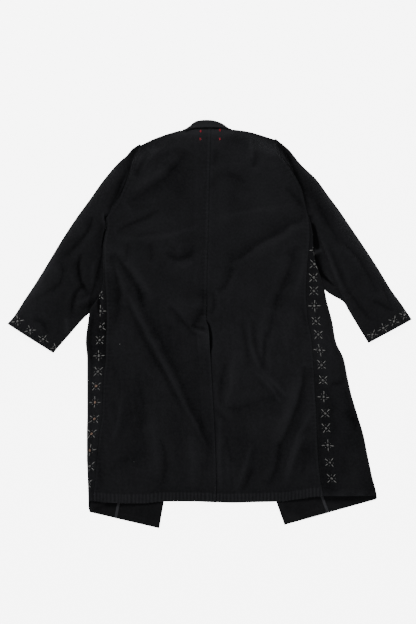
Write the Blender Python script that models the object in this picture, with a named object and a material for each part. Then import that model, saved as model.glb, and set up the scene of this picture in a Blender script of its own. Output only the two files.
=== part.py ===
"""A long military coat laid flat on its front, built from the cloth pieces that it is sewn from.

The coat lies face down, so its back is up. X runs to the right, Y towards the collar and Z up.
Tables are in centimetres from the middle of the laid-out coat, and heights in millimetres say so.
Each piece of cloth is a wall between two surfaces: the one inside the garment and the one outside.
"""

import math
from collections import namedtuple

import bmesh
import bpy
import numpy as np

CM = 0.01
MM = 0.001

# Cloth and seams
WALL = 1.5 * MM
SEAM_GAP = 0.3 * MM
LAYER_GAP = 0.3 * MM

# How the layers lie on each other
LEAST_LOFT = 2.0 * MM
TOP_LOFT = 0.6 * MM
BODY_LOFT = 6.0 * MM
TUCK_LIFT = 4.6 * MM
PLACKET_LIFT = 3.3 * MM
COLLAR_LIFT = 2.6 * MM
COLLAR_ROLL = 1.6 * MM
VENT_LIFT = 3.2 * MM
OVERLAP_LIFT = 2 * (WALL + LAYER_GAP) + LAYER_GAP

# Facings and their bindings, measured in from the front edge
FACING_WIDTH = 12.2 * CM
BINDING_WIDTH = 0.8 * CM

# Buttons
BUTTON_RADIUS = 10 * MM
BUTTON_DEPTH = 3 * MM
BUTTON_BEVEL = 0.6 * MM
BUTTON_SIDES = 20
BUTTON_HEIGHTS = (46.0, 38.5, 31.0, 23.5, 16.0)

# Where each of them starts to fade and where it has gone, in centimetres
# from the folded side, from the front edge, from the neckline, up the coat, or from the centre
TUCK_REACH = (3.5, 8.0)
TUCK_HEAD = (31.5, 37.0)
TUCK_FOOT = {"left": (-2.0, 3.0), "right": (4.0, 9.0)}
PLACKET_REACH = (3.0, 9.0)
PLACKET_FOOT = (8.0, 13.0)
NECK_DEPTH = (4.0, 9.0)
NECK_WIDTH = (9.0, 14.0)
LAP_REACH = (2.6, 9.0)
BEYOND_EDGE = (1.5, 7.0)
BEYOND_FACING = (14.0, 18.0)
HEM_REACH = (0.0, 10.0)
TOP_REACH = (0.0, 5.0)
VENT_REACH = (6.0, 12.0)
VENT_HEAD = (5.0, 9.0)
TOP_ROWS = (0.72, 1.0)
HEM_ROWS = (0.0, 0.25)

# The turns, in centimetres: the front's least strip on top, then the radius of each turn
SEAM_STRIP = 0.02
LEAST_TURN = 0.05
MOST_TURN = 0.5
OUTER_TURN = 0.2
INNER_TURN = 0.06

# The sleeves inside: how far their two sides lie apart
SLEEVE_EDGE_LOFT = 3.0 * MM
SLEEVE_FLAT_LOFT = 0.5 * MM
SLEEVE_LEAST_CROWN = 2.0 * MM
SLEEVE_PRESSED = (0.4, 0.75)
DOME_POWER = 0.6

# How soon along the sleeve its plan and its height are its own, at the outer and at the inner edge
ARMHOLE_FADE = (0.25, 0.024)
ARMHOLE_FADE_SHARE = (0.3, 0.8)
OWN_BY = (0.22, 0.05)
OFF_ARMHOLE = (0.0, 0.05)

# Beside the body the sleeve lies low, and rises away from it
BESIDE_BODY = 0.3
BESIDE_SLOPE = 0.8
BESIDE_HEAD = (32.5, 35.5)

# Rows and columns of the panels
SKIRT_ROWS = 26
YOKE_ROWS = 8
BACK_COLUMNS = 13
WRAP_COLUMNS = 3
TURN_COLUMNS = 4
FLOOR_COLUMNS = 3
SLEEVE_TURN = 3
FOLD_STEPS = 17

# Heights of the underarm, of the hem and of the top at the centre seam, and the signs of the sides
UNDERARM = 31.0
CENTRE_HEM = -51.4
CENTRE_TOP = 57.2
LEFT, RIGHT = 1.0, -1.0
WORDS = {LEFT: "left", RIGHT: "right"}

BLACK_COTTON = ((0.012, 0.012, 0.014, 1.0), 0.85)
INSIDE_COTTON = ((0.010, 0.010, 0.012, 1.0), 0.88)
PALE_TAPE = ((0.16, 0.16, 0.18, 1.0), 0.8)
BUTTON_BLACK = ((0.015, 0.014, 0.013, 1.0), 0.35)

# The body by height: where its sides fold, its side seams and its front edges lie
Section = namedtuple("Section", "height left_fold left_seam left_front right_front right_seam right_fold")
SECTIONS = [
    Section(-59.0, -35.0, -33.6, -14.5, 22.1, 33.2, 49.0),
    Section(-50.0, -35.1, -33.5, -12.9, 18.9, 32.9, 48.6),
    Section(-44.0, -35.3, -33.0, -11.8, 16.8, 32.0, 47.2),
    Section(-38.0, -35.5, -32.4, -10.7, 14.6, 31.5, 45.9),
    Section(-32.0, -35.5, -31.9, -9.7, 12.4, 31.2, 44.7),
    Section(-26.0, -35.4, -31.0, -8.6, 10.3, 31.0, 42.9),
    Section(-20.0, -35.4, -30.8, -7.6, 8.1, 30.6, 41.1),
    Section(-15.0, -35.4, -30.6, -6.7, 6.3, 30.4, 40.0),
    Section(-10.0, -35.4, -30.0, -5.8, 4.5, 30.1, 39.0),
    Section(-5.0, -35.8, -29.9, -4.9, 2.7, 29.7, 36.7),
    Section(1.0, -35.1, -29.7, -3.7, 0.6, 28.6, 35.6),
    Section(4.0, -34.6, -29.7, -2.9, -0.5, 28.3, 34.8),
    Section(7.0, -32.7, -29.8, -2.2, -1.5, 28.1, 34.0),
    Section(10.0, -31.3, -30.0, -1.2, -2.0, 28.0, 33.4),
    Section(14.0, -30.6, -30.2, 0.4, -2.0, 28.2, 32.2),
    Section(18.0, -30.8, -30.4, 1.4, -2.0, 28.5, 30.8),
    Section(22.0, -30.8, -30.5, 1.9, -2.0, 28.9, 30.2),
    Section(26.0, -30.2, -30.0, 2.0, -2.0, 29.1, 30.0),
    Section(28.5, -29.6, -29.4, 2.0, -2.0, 29.0, 29.6),
    Section(UNDERARM, -29.9, -29.7, 2.0, -2.0, 28.7, 28.9),
    Section(54.0, -29.9, -29.7, 2.0, -2.0, 28.7, 28.9),
]

# The armholes by height, on the back and on the front
Armhole = namedtuple("Armhole", "height left_back left_front right_back right_front")
ARMHOLES = [
    Armhole(UNDERARM, -29.7, -29.76, 28.7, 28.76),
    Armhole(33.0, -28.3, -27.6, 28.2, 27.2),
    Armhole(35.5, -26.5, -26.0, 27.6, 26.0),
    Armhole(39.0, -25.0, -24.3, 26.8, 24.7),
    Armhole(43.0, -23.2, -22.8, 24.8, 23.2),
    Armhole(47.0, -21.9, -21.8, 22.0, 21.2),
    Armhole(50.0, -20.8, -20.7, 19.7, 19.5),
    Armhole(54.0, -19.0, -19.0, 18.9, 18.9),
]

# The centre-back seam, and below it the edges of the lapped vent
Centre = namedtuple("Centre", "height left_panel right_panel")
CENTRES = [
    Centre(-51.5, 1.95, -2.4),
    Centre(-40.0, 1.8, -2.4),
    Centre(-30.0, 1.45, -2.4),
    Centre(-20.0, 0.9, -2.5),
    Centre(-12.0, 0.5, -2.6),
    Centre(-6.0, 0.7, -2.6),
    Centre(-3.0, 0.45, -2.4),
    Centre(1.3, -0.95, -0.95),
    Centre(7.0, -0.8, -0.8),
    Centre(16.0, -0.65, -0.65),
    Centre(27.0, -0.3, -0.3),
    Centre(36.0, -0.1, -0.1),
    Centre(48.0, 0.2, 0.2),
    Centre(58.0, 0.5, 0.5),
]

Spot = namedtuple("Spot", "x y")

# The hem of the top layer, left to right, and how far it stands off what it lies on
HEM = [
    Spot(-36.0, -50.9), Spot(-28.5, -51.6), Spot(-19.5, -51.8), Spot(-13.2, -51.3),
    Spot(-4.8, -51.3), Spot(0.8, -51.5), Spot(6.8, -51.7), Spot(14.0, -51.5),
    Spot(20.0, -51.3), Spot(26.0, -50.6), Spot(30.2, -49.9), Spot(37.0, -49.4),
    Spot(44.0, -50.1), Spot(49.0, -50.7),
]
HemLoft = namedtuple("HemLoft", "x loft_mm")
HEM_LOFT = [
    HemLoft(-35.0, 4.0), HemLoft(-30.0, 6.0), HemLoft(-24.0, 5.0), HemLoft(-18.0, 3.0),
    HemLoft(-12.0, 1.5), HemLoft(10.0, 1.2), HemLoft(20.0, 1.5), HemLoft(27.0, 3.5),
    HemLoft(33.0, 8.0), HemLoft(40.0, 12.0), HemLoft(45.0, 8.0), HemLoft(49.0, 3.0),
]

# The top of the back: shoulder, neck, shoulder
BACK_TOP = [
    Spot(-19.8, 52.0), Spot(-16.0, 53.8), Spot(-11.4, 55.4), Spot(-7.5, 56.3),
    Spot(-4.0, 57.0), Spot(0.5, 57.2), Spot(4.0, 57.0), Spot(6.1, 56.5), Spot(8.3, 56.3),
    Spot(11.6, 55.8), Spot(14.9, 54.9), Spot(18.9, 53.6),
]
# The top of each front: shoulder, then neckline
LEFT_FRONT_TOP = [
    Spot(-19.8, 52.0), Spot(-16.0, 53.8), Spot(-11.4, 55.4), Spot(-7.5, 56.3),
    Spot(-6.3, 53.4), Spot(-4.0, 51.0), Spot(-1.0, 49.8), Spot(2.0, 49.5),
]
RIGHT_FRONT_TOP = [
    Spot(-2.0, 49.5), Spot(1.0, 49.8), Spot(4.0, 51.6), Spot(5.2, 53.4), Spot(6.1, 56.5),
    Spot(8.3, 56.3), Spot(11.6, 55.8), Spot(14.9, 54.9), Spot(18.9, 53.6),
]
FRONT_TOPS = {LEFT: LEFT_FRONT_TOP, RIGHT: RIGHT_FRONT_TOP}
# Each front: its hem at the folded side and at the front edge, the heights of its front edge's top
# and of its shoulder point, and its columns along the neckline, measured in from the front edge
FrontEnds = namedtuple("FrontEnds", "fold_hem edge_hem edge_neck shoulder neck_columns")
ENDS = {
    LEFT: FrontEnds(-54.4, -59.1, 49.5, 52.0, (0.0, 3.0, 6.0, 8.3, 9.5)),
    RIGHT: FrontEnds(-50.7, -58.1, 49.5, 53.6, (0.0, 3.0, 6.0, 7.2, 8.1)),
}

# Sleeve outlines from the shoulder or underarm to the cuff
LEFT_SLEEVE_OUTER = [
    Spot(-19.9, 52.1), Spot(-22.1, 50.7), Spot(-23.9, 48.7), Spot(-25.9, 47.1),
    Spot(-30.6, 41.9), Spot(-34.6, 36.3), Spot(-38.4, 31.1), Spot(-42.3, 25.2),
    Spot(-46.3, 18.6), Spot(-50.6, 11.6), Spot(-53.6, 7.1), Spot(-57.0, 1.9), Spot(-58.5, 0.3),
]
LEFT_SLEEVE_INNER = [
    Spot(-30.3, 31.7), Spot(-30.2, 29.0), Spot(-30.3, 26.6), Spot(-30.0, 24.0),
    Spot(-29.3, 20.0), Spot(-29.8, 14.0), Spot(-31.3, 8.8), Spot(-32.9, 6.2),
    Spot(-34.6, 3.5), Spot(-36.3, 1.9), Spot(-40.9, -3.3), Spot(-44.3, -7.2), Spot(-45.2, -8.3),
]
RIGHT_SLEEVE_OUTER = [
    Spot(19.1, 53.7), Spot(20.6, 52.5), Spot(22.8, 50.7), Spot(26.3, 46.6),
    Spot(31.2, 41.9), Spot(34.1, 37.9), Spot(37.6, 33.2), Spot(41.4, 27.6),
    Spot(45.6, 21.4), Spot(49.4, 15.5), Spot(52.6, 10.2), Spot(55.5, 6.2), Spot(58.7, 1.5),
]
RIGHT_SLEEVE_INNER = [
    Spot(29.3, 31.8), Spot(29.8, 29.8), Spot(30.2, 27.6), Spot(30.2, 26.0),
    Spot(29.8, 23.0), Spot(30.2, 18.0), Spot(31.4, 13.0), Spot(33.9, 9.6),
    Spot(35.9, 8.3), Spot(39.0, 6.4), Spot(40.4, 4.0), Spot(42.8, 0.0), Spot(46.1, -5.4),
]
SLEEVE_EDGES = {
    LEFT: (LEFT_SLEEVE_OUTER, LEFT_SLEEVE_INNER),
    RIGHT: (RIGHT_SLEEVE_OUTER, RIGHT_SLEEVE_INNER),
}
# Along each sleeve: the share of its width pressed flat on the inner side, and its crown
SleeveShape = namedtuple("SleeveShape", "along left_flat right_flat crown_mm")
SLEEVE_SHAPES = [
    SleeveShape(0.00, 0.00, 0.00, 9.0),
    SleeveShape(0.05, 0.13, 0.13, 9.0),
    SleeveShape(0.15, 0.25, 0.25, 10.0),
    SleeveShape(0.28, 0.26, 0.40, 11.0),
    SleeveShape(0.44, 0.22, 0.35, 12.0),
    SleeveShape(0.56, 0.13, 0.20, 11.0),
    SleeveShape(0.70, 0.00, 0.00, 10.0),
    SleeveShape(1.00, 0.00, 0.00, 6.5),
]
SLEEVE_STATIONS = (
    0.0, 0.012, 0.04, 0.075, 0.11, 0.16, 0.22, 0.28, 0.35, 0.42, 0.5, 0.58, 0.66, 0.74, 0.82, 0.91, 1.0,
)

# Folds: three points on each crest or trough, its half width and its height, below zero for a trough
Fold = namedtuple("Fold", "x0 y0 x1 y1 x2 y2 half_cm height_mm")
BODY_FOLDS = [
    Fold(-21.9, 50.6, -24.2, 43.1, -27.6, 35.2, 1.6, -4.5),
    Fold(-14.3, 53.0, -20.6, 47.1, -23.6, 40.3, 1.6, 3.0),
    Fold(-11.3, 54.4, -17.2, 48.9, -21.9, 42.5, 1.6, -4.0),
    Fold(-6.2, 52.3, -11.4, 43.9, -23.2, 34.4, 3.0, -4.5),
    Fold(-12.8, 50.6, -17.2, 44.2, -22.5, 37.5, 2.6, 4.0),
    Fold(-14.7, 32.2, -20.7, 29.7, -27.4, 26.7, 1.8, -4.0),
    Fold(-2.7, 28.9, -7.0, 27.7, -11.4, 26.8, 3.0, 2.5),
    Fold(-13.0, 20.8, -7.3, 19.3, -3.6, 22.9, 1.8, -3.5),
    Fold(-28.7, 19.9, -26.2, 10.0, -28.8, -0.7, 1.8, -5.0),
    Fold(-27.0, 19.9, -23.6, 13.8, -21.0, 7.0, 1.8, 4.0),
    Fold(-25.3, 22.5, -21.5, 14.1, -19.2, 6.2, 1.8, -4.0),
    Fold(-19.2, 6.2, -9.9, -12.6, 0.9, -39.3, 2.0, -5.0),
    Fold(-23.0, 6.8, -12.0, -12.0, -2.4, -30.9, 2.0, 5.0),
    Fold(-24.9, 8.0, -15.7, -8.8, -3.3, -32.6, 1.6, -3.0),
    Fold(-10.8, 4.6, -7.0, -0.7, -3.6, -5.9, 1.5, -3.0),
    Fold(0.2, 39.6, 4.3, 43.9, 10.8, 41.6, 1.8, -3.5),
    Fold(13.5, 52.0, 13.4, 49.2, 13.3, 46.0, 1.4, -3.0),
    Fold(15.6, 51.2, 17.6, 48.3, 19.1, 46.3, 1.4, -3.0),
    Fold(20.4, 52.2, 25.0, 45.4, 28.6, 36.1, 1.6, -4.5),
    Fold(26.2, 31.5, 18.5, 26.0, 10.0, 18.7, 1.8, -5.0),
    Fold(24.9, 22.9, 22.8, 12.3, 15.3, -8.0, 1.8, -5.0),
    Fold(27.2, 21.6, 25.4, 11.5, 21.4, 2.8, 2.0, 3.0),
    Fold(10.8, 13.5, 12.4, 3.3, 12.8, -7.4, 1.4, -2.5),
    Fold(9.5, -3.0, 13.0, -9.7, 17.3, -16.1, 1.6, -3.0),
    Fold(5.2, -12.0, 4.3, -18.1, 3.7, -24.1, 2.4, 3.0),
    Fold(6.2, -25.1, 14.1, -22.8, 22.2, -19.0, 1.8, -3.0),
    Fold(27.3, -12.9, 25.4, -22.8, 19.6, -36.1, 1.8, -5.0),
    Fold(19.6, -36.1, 19.6, -40.7, 16.7, -47.7, 1.8, -4.0),
    Fold(27.8, -21.3, 23.7, -33.5, 20.8, -43.0, 1.8, 4.0),
    Fold(12.8, -39.6, 10.8, -45.1, 9.2, -49.2, 1.8, -2.5),
    Fold(35.0, -16.7, 37.0, -16.0, 38.8, -15.5, 1.8, -2.0),
    Fold(39.4, -24.8, 41.4, -27.1, 43.7, -29.1, 1.8, -2.5),
    Fold(-19.9, -21.0, -14.9, -32.0, -14.9, -43.6, 2.2, 3.0),
    Fold(-6.5, -32.9, -4.4, -38.7, -3.0, -44.5, 2.2, 2.5),
    Fold(-27.3, -17.5, -23.0, -29.1, -17.2, -39.3, 3.0, -3.0),
]
SLEEVE_FOLDS = [
    Fold(-34.0, 31.5, -36.0, 25.7, -43.0, 18.7, 1.8, -4.0),
    Fold(-36.6, 20.2, -36.9, 14.4, -34.3, 8.8, 1.8, -4.0),
    Fold(-36.0, 10.6, -38.9, 6.2, -39.8, 3.0, 1.6, -3.0),
    Fold(-52.0, 6.2, -46.2, 9.1, -43.3, 11.5, 1.6, -2.5),
    Fold(-51.1, 1.3, -48.2, 0.4, -46.8, -3.0, 1.4, -2.0),
    Fold(28.6, 39.0, 33.6, 28.9, 36.5, 24.5, 1.8, -4.0),
    Fold(39.4, 23.6, 44.9, 16.7, 53.9, 3.6, 1.8, -4.0),
    Fold(35.0, 21.6, 38.5, 12.9, 42.3, 7.1, 1.6, -4.0),
    Fold(42.3, 7.1, 45.2, 3.3, 47.2, -0.1, 1.6, -3.0),
    Fold(46.6, 6.8, 49.5, 5.7, 53.0, 3.0, 1.4, -2.0),
]

# The collar from its left front end round the back to its right front end: where it is sewn on,
# the way that its stand goes in plan, the way that it turns over, its stand and its fall
CollarPlace = namedtuple("CollarPlace", "x y facing_deg tilt_deg stand fall")
COLLAR_PLACES = [
    CollarPlace(-0.4, 49.74, 84, -90, 1.2, 3.2),
    CollarPlace(-2.0, 50.2, 72, -90, 1.2, 3.2),
    CollarPlace(-3.5, 50.8, 58, -90, 1.2, 3.2),
    CollarPlace(-5.0, 52.04, 42, -90, 1.2, 3.0),
    CollarPlace(-6.3, 53.4, 30, -90, 1.0, 2.6),
    CollarPlace(-6.9, 54.85, 26, -90, 0.8, 2.0),
    CollarPlace(-7.26, 55.82, 30, -90, 0.5, 1.0),
    CollarPlace(-7.43, 56.4, 52, -50, 0.3, 0.35),
    CollarPlace(-7.46, 56.5, 70, 0, 0.2, 0.15),
    CollarPlace(-7.2, 56.5, 80, 50, 0.2, 0.25),
    CollarPlace(-6.7, 56.5, 85, 90, 0.25, 0.6),
    CollarPlace(-5.8, 56.65, 88, 90, 0.5, 0.9),
    CollarPlace(-4.8, 56.85, 90, 90, 1.0, 1.3),
    CollarPlace(-3.6, 57.05, 90, 90, 1.3, 1.8),
    CollarPlace(-1.5, 57.2, 90, 90, 1.35, 1.95),
    CollarPlace(0.5, 57.25, 90, 90, 1.3, 1.9),
    CollarPlace(2.2, 57.2, 90, 90, 1.05, 1.5),
    CollarPlace(3.6, 57.1, 90, 90, 0.7, 1.0),
    CollarPlace(4.8, 56.85, 92, 90, 0.35, 0.6),
    CollarPlace(5.6, 56.7, 98, 50, 0.2, 0.25),
    CollarPlace(6.1, 56.7, 110, 0, 0.2, 0.15),
    CollarPlace(6.02, 56.6, 128, -50, 0.3, 0.35),
    CollarPlace(5.9, 55.98, 152, -90, 0.5, 1.0),
    CollarPlace(5.6, 54.78, 158, -90, 0.8, 2.0),
    CollarPlace(5.2, 53.4, 154, -90, 1.0, 2.6),
    CollarPlace(4.1, 51.75, 136, -90, 1.2, 3.0),
    CollarPlace(3.0, 51.0, 120, -90, 1.2, 3.2),
    CollarPlace(1.7, 50.22, 112, -90, 1.2, 3.2),
    CollarPlace(0.4, 49.74, 98, -90, 1.2, 3.2),
]
COLLAR_TURN = 4

# The whole upper outline, with the sleeves' outer edges on both sides
TOP_LINE = LEFT_SLEEVE_OUTER[::-1] + BACK_TOP + RIGHT_SLEEVE_OUTER


def clear_scene():
    """Remove everything that the scene starts with."""
    for thing in list(bpy.data.objects):
        bpy.data.objects.remove(thing)


def column(table, name):
    """One named column of a table, as an array."""
    return np.array([getattr(row, name) for row in table], float)


def read(table, key, name, at):
    """The value of one column where the key column is at the given places."""
    keys = column(table, key)
    order = np.argsort(keys)
    return np.interp(at, keys[order], column(table, name)[order])


def ramp(value, low, high):
    """0 up to low, 1 from high on, and smooth between."""
    share = np.clip((value - low) / (high - low), 0.0, 1.0)
    return share * share * (3.0 - 2.0 * share)


def lerp(a, b, share):
    return a + (b - a) * share


def along(spots, fractions):
    """Points on the line through the spots at the given fractions of its length."""
    points = np.array(spots, float)
    steps = np.linalg.norm(np.diff(points, axis=0), axis=1)
    knots = np.concatenate([[0.0], np.cumsum(steps)]) / steps.sum()
    return np.stack([np.interp(fractions, knots, points[:, axis]) for axis in (0, 1)], axis=-1)


def fold_height(folds, x, y):
    """The sum of all folds at each place, in metres."""
    total = np.zeros_like(x)
    for fold in folds:
        middle_x = 2 * fold.x1 - (fold.x0 + fold.x2) / 2
        middle_y = 2 * fold.y1 - (fold.y0 + fold.y2) / 2
        nearest = np.full_like(x, np.inf)
        for step in np.linspace(0.0, 1.0, FOLD_STEPS):
            line_x = (1 - step) ** 2 * fold.x0 + 2 * step * (1 - step) * middle_x + step**2 * fold.x2
            line_y = (1 - step) ** 2 * fold.y0 + 2 * step * (1 - step) * middle_y + step**2 * fold.y2
            nearest = np.minimum(nearest, np.hypot(x - line_x, y - line_y))
        total += fold.height_mm * MM * (1.0 - ramp(nearest, 0.0, 2.0 * fold.half_cm))
    return total


def fold_edge(side, y):
    return read(SECTIONS, "height", WORDS[side] + "_fold", y)


def tuck_lift(side, x, y):
    """The front lies over the sleeve's inner edge from the underarm down."""
    inward = 1 - ramp(side * (x - fold_edge(side, y)), *TUCK_REACH)
    return TUCK_LIFT * inward * ramp(y, *TUCK_FOOT[WORDS[side]]) * (1 - ramp(y, *TUCK_HEAD))


def neck_lift(x, y):
    """The fronts lie over the collar's fall, near the neckline."""
    top = np.where(x < 0, read(LEFT_FRONT_TOP, "x", "y", x), read(RIGHT_FRONT_TOP, "x", "y", x))
    return COLLAR_LIFT * (1 - ramp(top - y, *NECK_DEPTH)) * (1 - ramp(np.abs(x), *NECK_WIDTH))


def front_edge(side, y):
    return read(SECTIONS, "height", WORDS[side] + "_front", y)


def placket_centre(y):
    return (front_edge(LEFT, y) + front_edge(RIGHT, y)) / 2


def left_floor(x, y):
    """The underside of the left front: on the floor, the collar, the sleeve or the buttons."""
    placket = 1 - ramp(np.abs(x - placket_centre(y)), *PLACKET_REACH)
    placket = PLACKET_LIFT * placket * ramp(y, *PLACKET_FOOT)
    return np.maximum(np.maximum(placket, tuck_lift(LEFT, x, y)), neck_lift(x, y))


def right_floor(x, y):
    """The underside of the right front, which lies on the left one along the placket."""
    lapped = (1 - ramp(x - front_edge(LEFT, y), *LAP_REACH)) * (left_floor(x, y) + OVERLAP_LIFT)
    return np.maximum(np.maximum(lapped, tuck_lift(RIGHT, x, y)), neck_lift(x, y))


def floor_level(side, x, y):
    return left_floor(x, y) if side == LEFT else right_floor(x, y)


def top_level(x, y):
    """The inner side of the top layer: what it lies on, and how far it stands off it."""
    lies_on = []
    for side in (LEFT, RIGHT):
        past = side * (x - front_edge(side, y))
        stack = (WALL + LAYER_GAP) * (2 - ramp(-past, *BEYOND_FACING))
        lies_on.append((1 - ramp(past, *BEYOND_EDGE)) * (floor_level(side, x, y) + stack))
    loft = np.maximum(BODY_LOFT + fold_height(BODY_FOLDS, x, y), LEAST_LOFT)
    above_hem = ramp(y - read(HEM, "x", "y", x), *HEM_REACH)
    loft = lerp(read(HEM_LOFT, "x", "loft_mm", x) * MM, loft, above_hem)
    loft = lerp(TOP_LOFT, loft, ramp(read(TOP_LINE, "x", "y", x) - y, *TOP_REACH))
    return np.maximum(*lies_on) + loft


def set_height(x, y, z):
    """Points in metres from a plan in centimetres and heights in metres."""
    return np.stack([x * CM, y * CM, z], axis=-1)


def make_material(name, finish):
    colour, roughness = finish
    material = bpy.data.materials.new(name)
    material.use_nodes = True
    surface = material.node_tree.nodes["Principled BSDF"]
    surface.inputs["Base Color"].default_value = colour
    surface.inputs["Roughness"].default_value = roughness
    surface.inputs["Metallic"].default_value = 0.0
    return material


def add_object(name, shape, finish, collection):
    """Put a shape in the scene, facing outwards, with its own material."""
    bmesh.ops.recalc_face_normals(shape, faces=shape.faces)
    if shape.calc_volume(signed=True) < 0:
        bmesh.ops.reverse_faces(shape, faces=shape.faces)
    mesh = bpy.data.meshes.new(name)
    shape.to_mesh(mesh)
    shape.free()
    mesh.materials.append(make_material(name, finish))
    thing = bpy.data.objects.new(name, mesh)
    collection.objects.link(thing)
    return thing


def cloth_wall(name, inner, outer, finish, collection, absent=(), closed=False):
    """A wall of cloth: a grid laid on the inner points, then extruded to the outer ones.

    absent lists the grid's missing cells, and closed joins the last column to the first.
    """
    rows, columns = inner.shape[:2]
    across = columns if closed else columns - 1
    shape = bmesh.new()
    place = shape.verts.layers.int.new("place")
    bmesh.ops.create_grid(shape, x_segments=across, y_segments=rows - 1, size=1.0)
    for number, vert in enumerate(shape.verts):
        row, along_row = divmod(number, across + 1)
        vert[place] = row * columns + along_row % columns
        vert.co = inner[row, along_row % columns]
    shape.faces.ensure_lookup_table()
    missing = [shape.faces[row * across + along_row] for row, along_row in absent]
    bmesh.ops.delete(shape, geom=missing, context="FACES")
    if closed:
        bmesh.ops.remove_doubles(shape, verts=shape.verts, dist=0.001 * MM)
    made = bmesh.ops.extrude_face_region(shape, geom=shape.faces[:], use_keep_orig=True)
    moved = outer.reshape(-1, 3)
    for vert in made["geom"]:
        if isinstance(vert, bmesh.types.BMVert):
            vert.co = moved[vert[place]]
    return add_object(name, shape, finish, collection)


def side_heights(side, hem):
    """The height of each row at the side: hem to underarm, then armhole to shoulder."""
    skirt = np.linspace(hem, UNDERARM, SKIRT_ROWS + 1)
    yoke = np.linspace(UNDERARM, ENDS[side].shoulder, YOKE_ROWS + 1)
    return np.concatenate([skirt, yoke[1:]])


def seam_hem(side):
    """The height of the hem at the side seam."""
    return read(HEM, "x", "y", read(SECTIONS, "height", WORDS[side] + "_seam", CENTRE_HEM))


def follow_top(x, y, spots, rows_share):
    """Lift the upper rows of a panel so that its last row follows the given line."""
    return y + ramp(rows_share, *TOP_ROWS)[:, None] * (read(spots, "x", "y", x) - y[-1])


def follow_hem(x, y, rows_share):
    """Move the lower rows of a panel so that its first row follows the hem."""
    return y + (1 - ramp(rows_share, *HEM_ROWS))[:, None] * (read(HEM, "x", "y", x) - y[0])


def back_panel(side, collection):
    """Half of the back, from side seam and armhole to the centre seam and vent."""
    word = WORDS[side]
    outer_y = side_heights(side, seam_hem(side))
    seam_x = read(SECTIONS, "height", word + "_seam", outer_y)
    armhole_x = read(ARMHOLES, "height", word + "_back", outer_y)
    outer_x = np.where(outer_y <= UNDERARM, seam_x, armhole_x)
    share = np.linspace(0.0, 1.0, len(outer_y))
    inner_y = lerp(CENTRE_HEM, CENTRE_TOP, share)
    inner_x = read(CENTRES, "height", word + "_panel", inner_y) - side * SEAM_GAP / 2 / CM
    across = np.linspace(0.0, 1.0, BACK_COLUMNS + 1)[None, :]
    x = lerp(outer_x[:, None], inner_x[:, None], across)
    y = lerp(outer_y[:, None], inner_y[:, None], across)
    y = follow_hem(x, follow_top(x, y, BACK_TOP, share), share)
    z = top_level(x, y)
    if side == LEFT:
        z += VENT_LIFT * (1 - ramp(inner_x[:, None] - x, *VENT_REACH)) * (1 - ramp(y, *VENT_HEAD))
    inner, outer = set_height(x, y, z), set_height(x, y, z + WALL)
    cloth_wall("back_" + word, inner, outer, BLACK_COTTON, collection)


def wrap_part(side, y_seam, y_fold):
    """The front's top strip and the turn at its side: inner and outer points, seam first."""
    seam = read(SECTIONS, "height", WORDS[side] + "_seam", y_seam) - side * SEAM_GAP / CM
    inner, outer = [], []
    wall = WALL / CM
    for step in range(WRAP_COLUMNS + TURN_COLUMNS + 1):
        turned = max(step - WRAP_COLUMNS, 0) / TURN_COLUMNS
        angle = math.pi / 2 - math.pi * turned
        y = lerp(y_seam, y_fold, turned)
        edge = fold_edge(side, y)
        upper = top_level(edge + side * wall, y)
        lower = floor_level(side, edge + side * wall, y) + WALL
        room = np.maximum(side * (seam - edge) - wall - SEAM_STRIP, LEAST_TURN)
        radius = np.minimum(np.clip((upper - lower) / 2 / CM, LEAST_TURN, MOST_TURN), room)
        end = side * np.minimum(side * edge + wall + radius, side * seam - SEAM_STRIP)
        x = end - side * radius * math.cos(angle)
        height = (upper + lower) / 2 + (upper - lower) / 2 * math.sin(angle)
        if step < WRAP_COLUMNS:
            x = lerp(seam, end, step / WRAP_COLUMNS)
            height = top_level(x, y)
        inner.append(set_height(x, y, height))
        away_x = -side * math.cos(angle) * wall
        outer.append(set_height(x + away_x, y, height + WALL * math.sin(angle)))
    return np.stack(inner, axis=1), np.stack(outer, axis=1)


def floor_columns(side, width):
    """The distance of each floor column from the turn, even between it and the facing's columns."""
    facing = [*ENDS[side].neck_columns, FACING_WIDTH / CM, (FACING_WIDTH + BINDING_WIDTH) / CM]
    plain = width - facing[-1]
    distance = [plain * step / FLOOR_COLUMNS for step in range(FLOOR_COLUMNS)]
    distance += [width - inward for inward in reversed(facing)]
    return np.stack(distance, axis=1), len(facing) - 1


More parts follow.
